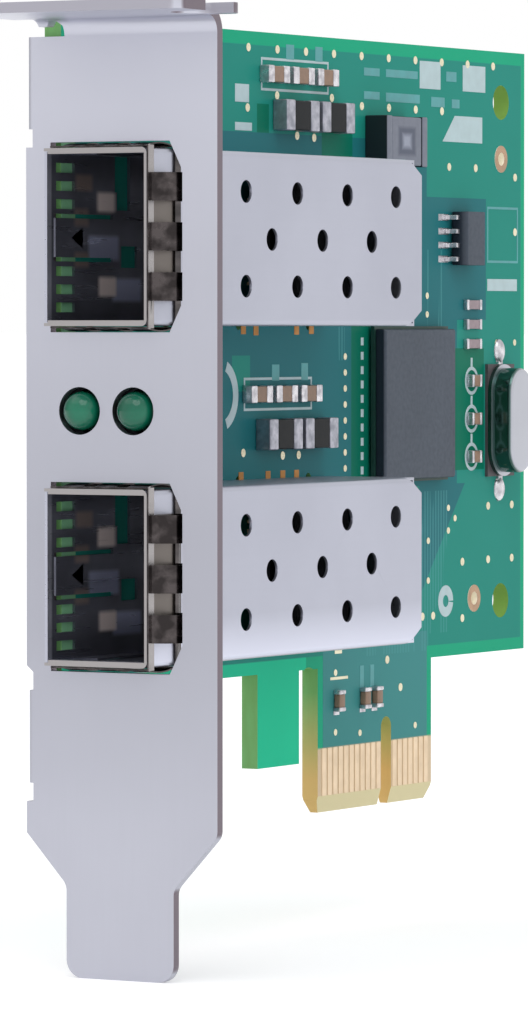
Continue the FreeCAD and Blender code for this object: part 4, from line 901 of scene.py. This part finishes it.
def add_back_artwork():
    """A blank label outline, footprint outlines and round test pads on the solder face."""
    drop = Vector((BOARD_LOW.x - BOARD_HIGH.x - INK * MM, 0, 0))
    outlines = [flat_print(45.5, 70, 54.5, 62.0, 0.25), flat_print(36, 44, 34.0, 39.0, 0.2),
                flat_print(62, 66, 36.0, 46.0, 0.2), flat_print(28, 33, 44.0, 50.0, 0.2)]
    dash = flat_print(50, 51.2, 22.0, 22.5)
    outlines += [copied(dash, "dash", Vector((0, 2.4 * MM, 0)) * number) for number in range(1, 6)]
    outlines.append(dash)
    for piece in outlines:
        piece.location = drop
        settle_in_place(piece)
    finish(joined(outlines, "back_marks"), printed_ink, "board_laminate")
    pad = plated_ring(1.2, 20)
    only(pad)
    bpy.ops.transform.mirror(orient_type="GLOBAL", constraint_axis=(True, False, False))
    pad = settle_in_place(pad)
    places = (row(54, 48.5, (3.2, 0), 3) + row(37.6, 36.5, (2.4, 0), 3) + row(64, 38.2, (0, 2.8), 3)
              + row(30.5, 45.6, (0, 2.8), 2) + row(72.5, 33.0, (0, 4.0), 3))
    pads = [copied(pad, "pad", behind_board(*place, SKIN / 2)) for place in places]
    bpy.data.objects.remove(pad)
    finish(joined(pads, "test_pads"), via_gold, "gold")


def add_memory_pads():
    """The tinned pads that the memory chip's leads stand on."""
    front, rear, low, high = box_of("memory_leads")
    lead, width, length = 0.42, 0.6, 1.9
    step = (high - low - lead) / 3
    pads = []
    for number in range(4):
        middle = low + lead / 2 + step * number
        pads += [flat_print(start, start + length, middle - width / 2, middle + width / 2)
                 for start in (front - 1.2, rear - 0.7)]
    finish(joined(pads, "memory_pads"), tin, "tinned_metal")


def add_lane_pads():
    """The pads that show below the three capacitors on the contact tongue, and two bare traces."""
    pads = []
    for number in range(1, 4):
        front, rear, low, high = box_of("lane_capacitor_%d" % number)
        pads.append(flat_print(front, rear, low - 0.7, low - 0.1))
    finish(joined(pads, "lane_pads"), tin, "tinned_metal")
    front, rear, low, high = box_of("lane_capacitor_1")
    traces = [flat_print(front - 0.6, front + 2.6, high + 1.3, high + 1.55),
              flat_print(front + 0.2, front + 1.5, high + 3.6, high + 3.9)]
    finish(joined(traces, "lane_traces"), via_gold, "gold")


def add_bare_pads():
    """Small exposed pads that show along the cages' edges."""
    pad = flat_print(29.1, 29.95, 29.55, 30.45)
    steps = [(4.7, 0), (7.3, 0), (9.75, 0), (0.4, 12.8), (2.6, 12.7), (9.75, 12.75), (12.4, 12.8)]
    pads = [copied(pad, "pad", Vector((0, along * MM, up * MM))) for along, up in steps]
    finish(joined(pads + [pad], "edge_pads"), bare_copper, "gold")


def solder_joint(width, height):
    """One solder joint on the back of the board: a cone drawn up round its pin."""
    bpy.ops.object.select_all(action="DESELECT")
    bpy.ops.mesh.primitive_cone_add(vertices=16, radius1=width / 2 * MM, radius2=width * 0.2 * MM,
                                    depth=height * MM, rotation=(0, -math.pi / 2, 0),
                                    location=(-height / 2 * MM, 0, 0))
    joint = settle_in_place(bpy.context.object)
    choose_faces(joint, lambda face: face.normal.x < -UPRIGHT)
    bpy.ops.mesh.inset(thickness=width * 0.06 * MM, depth=height * 0.12 * MM)
    bpy.ops.object.mode_set(mode="OBJECT")
    apply_modifier(joint, "BEVEL", width=width * 0.1 * MM, segments=2, limit_method="ANGLE",
                   angle_limit=math.radians(25))
    bpy.ops.object.shade_smooth_by_angle(angle=math.radians(50))
    return joint


def add_crystal_joints():
    """Rounded mounds of solder where the crystal's leads meet the board."""
    low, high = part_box("crystal_leads")
    middle = (low + high) / 2
    mounds = []
    for level in (low.z, high.z):
        bpy.ops.object.select_all(action="DESELECT")
        bpy.ops.mesh.primitive_uv_sphere_add(segments=20, ring_count=12, radius=1,
                                             location=(BOARD_HIGH.x, middle.y, level),
                                             scale=(0.55 * MM, 0.85 * MM, 1.15 * MM))
        mound = settle_in_place(bpy.context.object)
        only(mound)
        bpy.ops.object.mode_set(mode="EDIT")
        bpy.ops.mesh.select_all(action="SELECT")
        bpy.ops.mesh.bisect(plane_co=(BOARD_HIGH.x, middle.y, level), plane_no=(1, 0, 0),
                            use_fill=True, clear_inner=True)
        bpy.ops.object.mode_set(mode="OBJECT")
        settle_in_place(mound)
        bpy.ops.object.shade_smooth_by_angle(angle=math.radians(50))
        mounds.append(mound)
    finish(joined(mounds, "crystal_joints"), tin, "tinned_metal")


def add_solder_joints():
    """The joints where the cages' pins come through the board."""
    joint = solder_joint(1.7, 0.55)
    joints = []
    for low, high in CAGES.values():
        for number in range(PIN_COUNT):
            along = low.y + (PIN_START + PIN_PITCH * number) * MM
            for up in (low.z + PIN_INSET * MM, high.z - PIN_INSET * MM):
                joints.append(copied(joint, "joint", Vector((BOARD_LOW.x, along, up))))
    bpy.data.objects.remove(joint)
    finish(joined(joints, "cage_pin_joints"), tin, "tinned_metal")


# ------------------------------------------------------------------ the card's own pieces

def darken_inside(piece, cage):
    """Gives the faces inside a cage, which the light hardly reaches, the bay metal's painted shade.
    """
    low, high = cage
    reach = 0.4 * MM
    piece.data.materials.append(shaded_bay_metal)
    for face in piece.data.polygons:
        centre = face.center
        within = low.y + 2 * MM < centre.y and low.z + 0.2 * MM < centre.z < high.z - 0.2 * MM
        if within and centre.x < high.x - reach / 2:
            inward = (centre.z < low.z + reach and face.normal.z > UPRIGHT
                      or centre.z > high.z - reach and face.normal.z < -UPRIGHT
                      or centre.x > high.x - reach and face.normal.x < -UPRIGHT)
            face.material_index = 1 if inward else 0


def finish_metalwork():
    """The bracket with its screws, and both cages with their bases, collars and connectors."""
    refine("bracket", 0.10, bracket_metal, "bracket_steel")
    refine("bracket_screws", 0.08, screw_metal, "screw_steel")
    for level in LEVELS:
        cage = refine("cage_" + level, 0.05, cage_metal, "cage_steel")
        darken_inside(cage, CAGES[level])
        dress("cage_base_" + level, shaded_bay_metal)
        collar = "spring_collar_" + level
        refine(collar, 0, spring_metal, "spring_steel")
        dress("host_connector_" + level, black_nylon)
        dress("host_contacts_" + level, gold)


def finish_board():
    """The board, its contacts and the rims of its plated holes keep their shapes."""
    dress("board", mask)
    dress("edge_contacts_component", gold)
    dress("edge_contacts_solder", gold)
    dress("plated_hole_rims", gold_rim)


def finish_components():
    """The parts soldered to the board, with their edges broken."""
    refine("controller_cap", 0.08, moulding, "chip_plastic")
    dress("controller_substrate", substrate)
    dress("controller_balls", tin)
    refine("memory_chip", 0.07, moulding, "chip_plastic")
    refine("memory_leads", 0.04, tin, "tinned_metal")
    refine("power_inductor", 0.18, winding, "chip_plastic")
    refine("power_inductor_ends", 0.12, winding, "tinned_metal")
    for number in range(1, 5):
        node = "port_choke_%d" % number
        refine(node, 0.12, ferrite, "chip_plastic")
        ends = node + "_ends"
        refine(ends, 0.12, grey_tin, "tinned_metal")
    refine("crystal_can", 0, can_metal, "can_steel")
    dress("crystal_seat", seat_plastic)
    dress("crystal_leads", tin)
    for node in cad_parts:
        if "_capacitor_" in node:
            refine(node, 0.08, ceramic, "capacitor_ceramic")
        elif "strap_resistor_" in node:
            refine(node, 0.05, resistor_glaze, "resistor_black")
    refine("capacitor_ends", 0.09, tin, "tinned_metal")
    refine("resistor_ends", 0.05, tin, "tinned_metal")


def finish_indicator():
    """The two lamps in their holder."""
    refine("indicator_holder", 0.08, black_nylon, "black_plastic")
    dress("indicator_leads", tin)
    for place in ("near", "far"):
        node = "indicator_lens_" + place
        refine(node, 0, lamp, "green_lens")


finish_metalwork()
finish_board()
finish_components()
finish_indicator()
add_vias()
add_printing()
add_bare_pads()
add_memory_pads()
add_lane_pads()
add_back_artwork()
add_solder_joints()
add_crystal_joints()


# ------------------------------------------------------------------ stage, light and camera

def seen_directly(shader):
    """1 where the camera, a reflection or a look through glass sees a surface."""
    path = shader.node("ShaderNodeLightPath")
    return shader.either(path.outputs["Is Camera Ray"], path.outputs["Is Glossy Ray"],
                         path.outputs["Is Transmission Ray"])


def backdrop_material():
    """A pale surface that reads as white behind the card and still takes its shadow."""
    shader = Shader("studio_white")
    shader.tree.nodes.remove(shader.surface)
    diffuse = shader.node("ShaderNodeBsdfDiffuse")
    diffuse.inputs["Color"].default_value = (0.84, 0.84, 0.85, 1)
    glow = shader.node("ShaderNodeEmission")
    glow.inputs["Color"].default_value = (1, 1, 1, 1)
    shader.join(shader.times(seen_directly(shader), 0.28), glow.inputs["Strength"])
    total = shader.node("ShaderNodeAddShader")
    shader.join(diffuse.outputs[0], total.inputs[0])
    shader.join(glow.outputs[0], total.inputs[1])
    output = shader.tree.nodes["Material Output"]
    shader.join(total.outputs[0], output.inputs["Surface"])
    return shader.material


def add_floor():
    """A floor at the level of the card's lowest point."""
    bpy.ops.mesh.primitive_plane_add(size=60, location=(0, 0, cad_low.z))
    floor = bpy.context.object
    floor.name = "studio_floor"
    floor.data.materials.append(backdrop_material())


def add_world():
    """White to the eye, a little dimmer as light, with a darker side for metal to reflect."""
    world = bpy.data.worlds.new("studio_world")
    bpy.context.scene.world = world
    world.use_nodes = True
    tree = world.node_tree
    background = tree.nodes["Background"]

    def node(kind, **settings):
        item = tree.nodes.new(kind)
        for name, value in settings.items():
            setattr(item, name, value)
        return item

    path = node("ShaderNodeLightPath")
    direction = node("ShaderNodeTexCoord").outputs["Generated"]
    side = node("ShaderNodeVectorMath", operation="DOT_PRODUCT")
    tree.links.new(direction, side.inputs[0])
    side.inputs[1].default_value = (-0.94, 0.34, 0.0)
    shade = node("ShaderNodeMapRange", interpolation_type="SMOOTHSTEP")
    tree.links.new(side.outputs["Value"], shade.inputs["Value"])
    for name, limit in zip(LIMITS, (0.45, 0.95, 1.0, 0.35)):
        shade.inputs[name].default_value = limit
    lit = node("ShaderNodeMix", data_type="FLOAT")
    tree.links.new(path.outputs["Is Glossy Ray"], lit.inputs[0])
    lit.inputs[2].default_value = 0.82
    tree.links.new(shade.outputs[0], lit.inputs[3])
    clear = node("ShaderNodeMath", operation="MAXIMUM")
    tree.links.new(path.outputs["Is Camera Ray"], clear.inputs[0])
    tree.links.new(path.outputs["Is Transmission Ray"], clear.inputs[1])
    strength = node("ShaderNodeMix", data_type="FLOAT")
    tree.links.new(clear.outputs[0], strength.inputs[0])
    tree.links.new(lit.outputs[0], strength.inputs[2])
    strength.inputs[3].default_value = 1.0
    tree.links.new(strength.outputs[0], background.inputs["Strength"])
    background.inputs["Color"].default_value = (1, 1, 1, 1)


def add_sun(name, direction, strength, spread):
    """A broad, soft lamp from one direction."""
    data = bpy.data.lights.new(name, "SUN")
    data.energy = strength
    data.angle = math.radians(spread)
    item = bpy.data.objects.new(name, data)
    bpy.context.scene.collection.objects.link(item)
    item.rotation_euler = Vector(direction).to_track_quat("Z", "Y").to_euler()


def add_camera():
    """Looks at the bracket from the component side, a little above the card's middle."""
    turn = math.radians(29.72)
    dip = math.radians(1.75)
    data = bpy.data.cameras.new("studio_camera")
    data.sensor_width = 36
    data.lens = 215.46
    data.clip_start = 0.05
    item = bpy.data.objects.new("studio_camera", data)
    bpy.context.scene.collection.objects.link(item)
    item.location = Vector((264.58, -484.27, 43.16)) * MM
    item.rotation_euler = (math.pi / 2 - dip, 0, turn)
    bpy.context.scene.camera = item


add_floor()
add_world()
add_sun("key_light", (0.35, -0.55, 0.90), 0.6, 40)
add_sun("fill_light", (-0.30, -0.30, 0.95), 0.35, 60)
add_camera()
bpy.context.scene.view_settings.view_transform = "Standard"
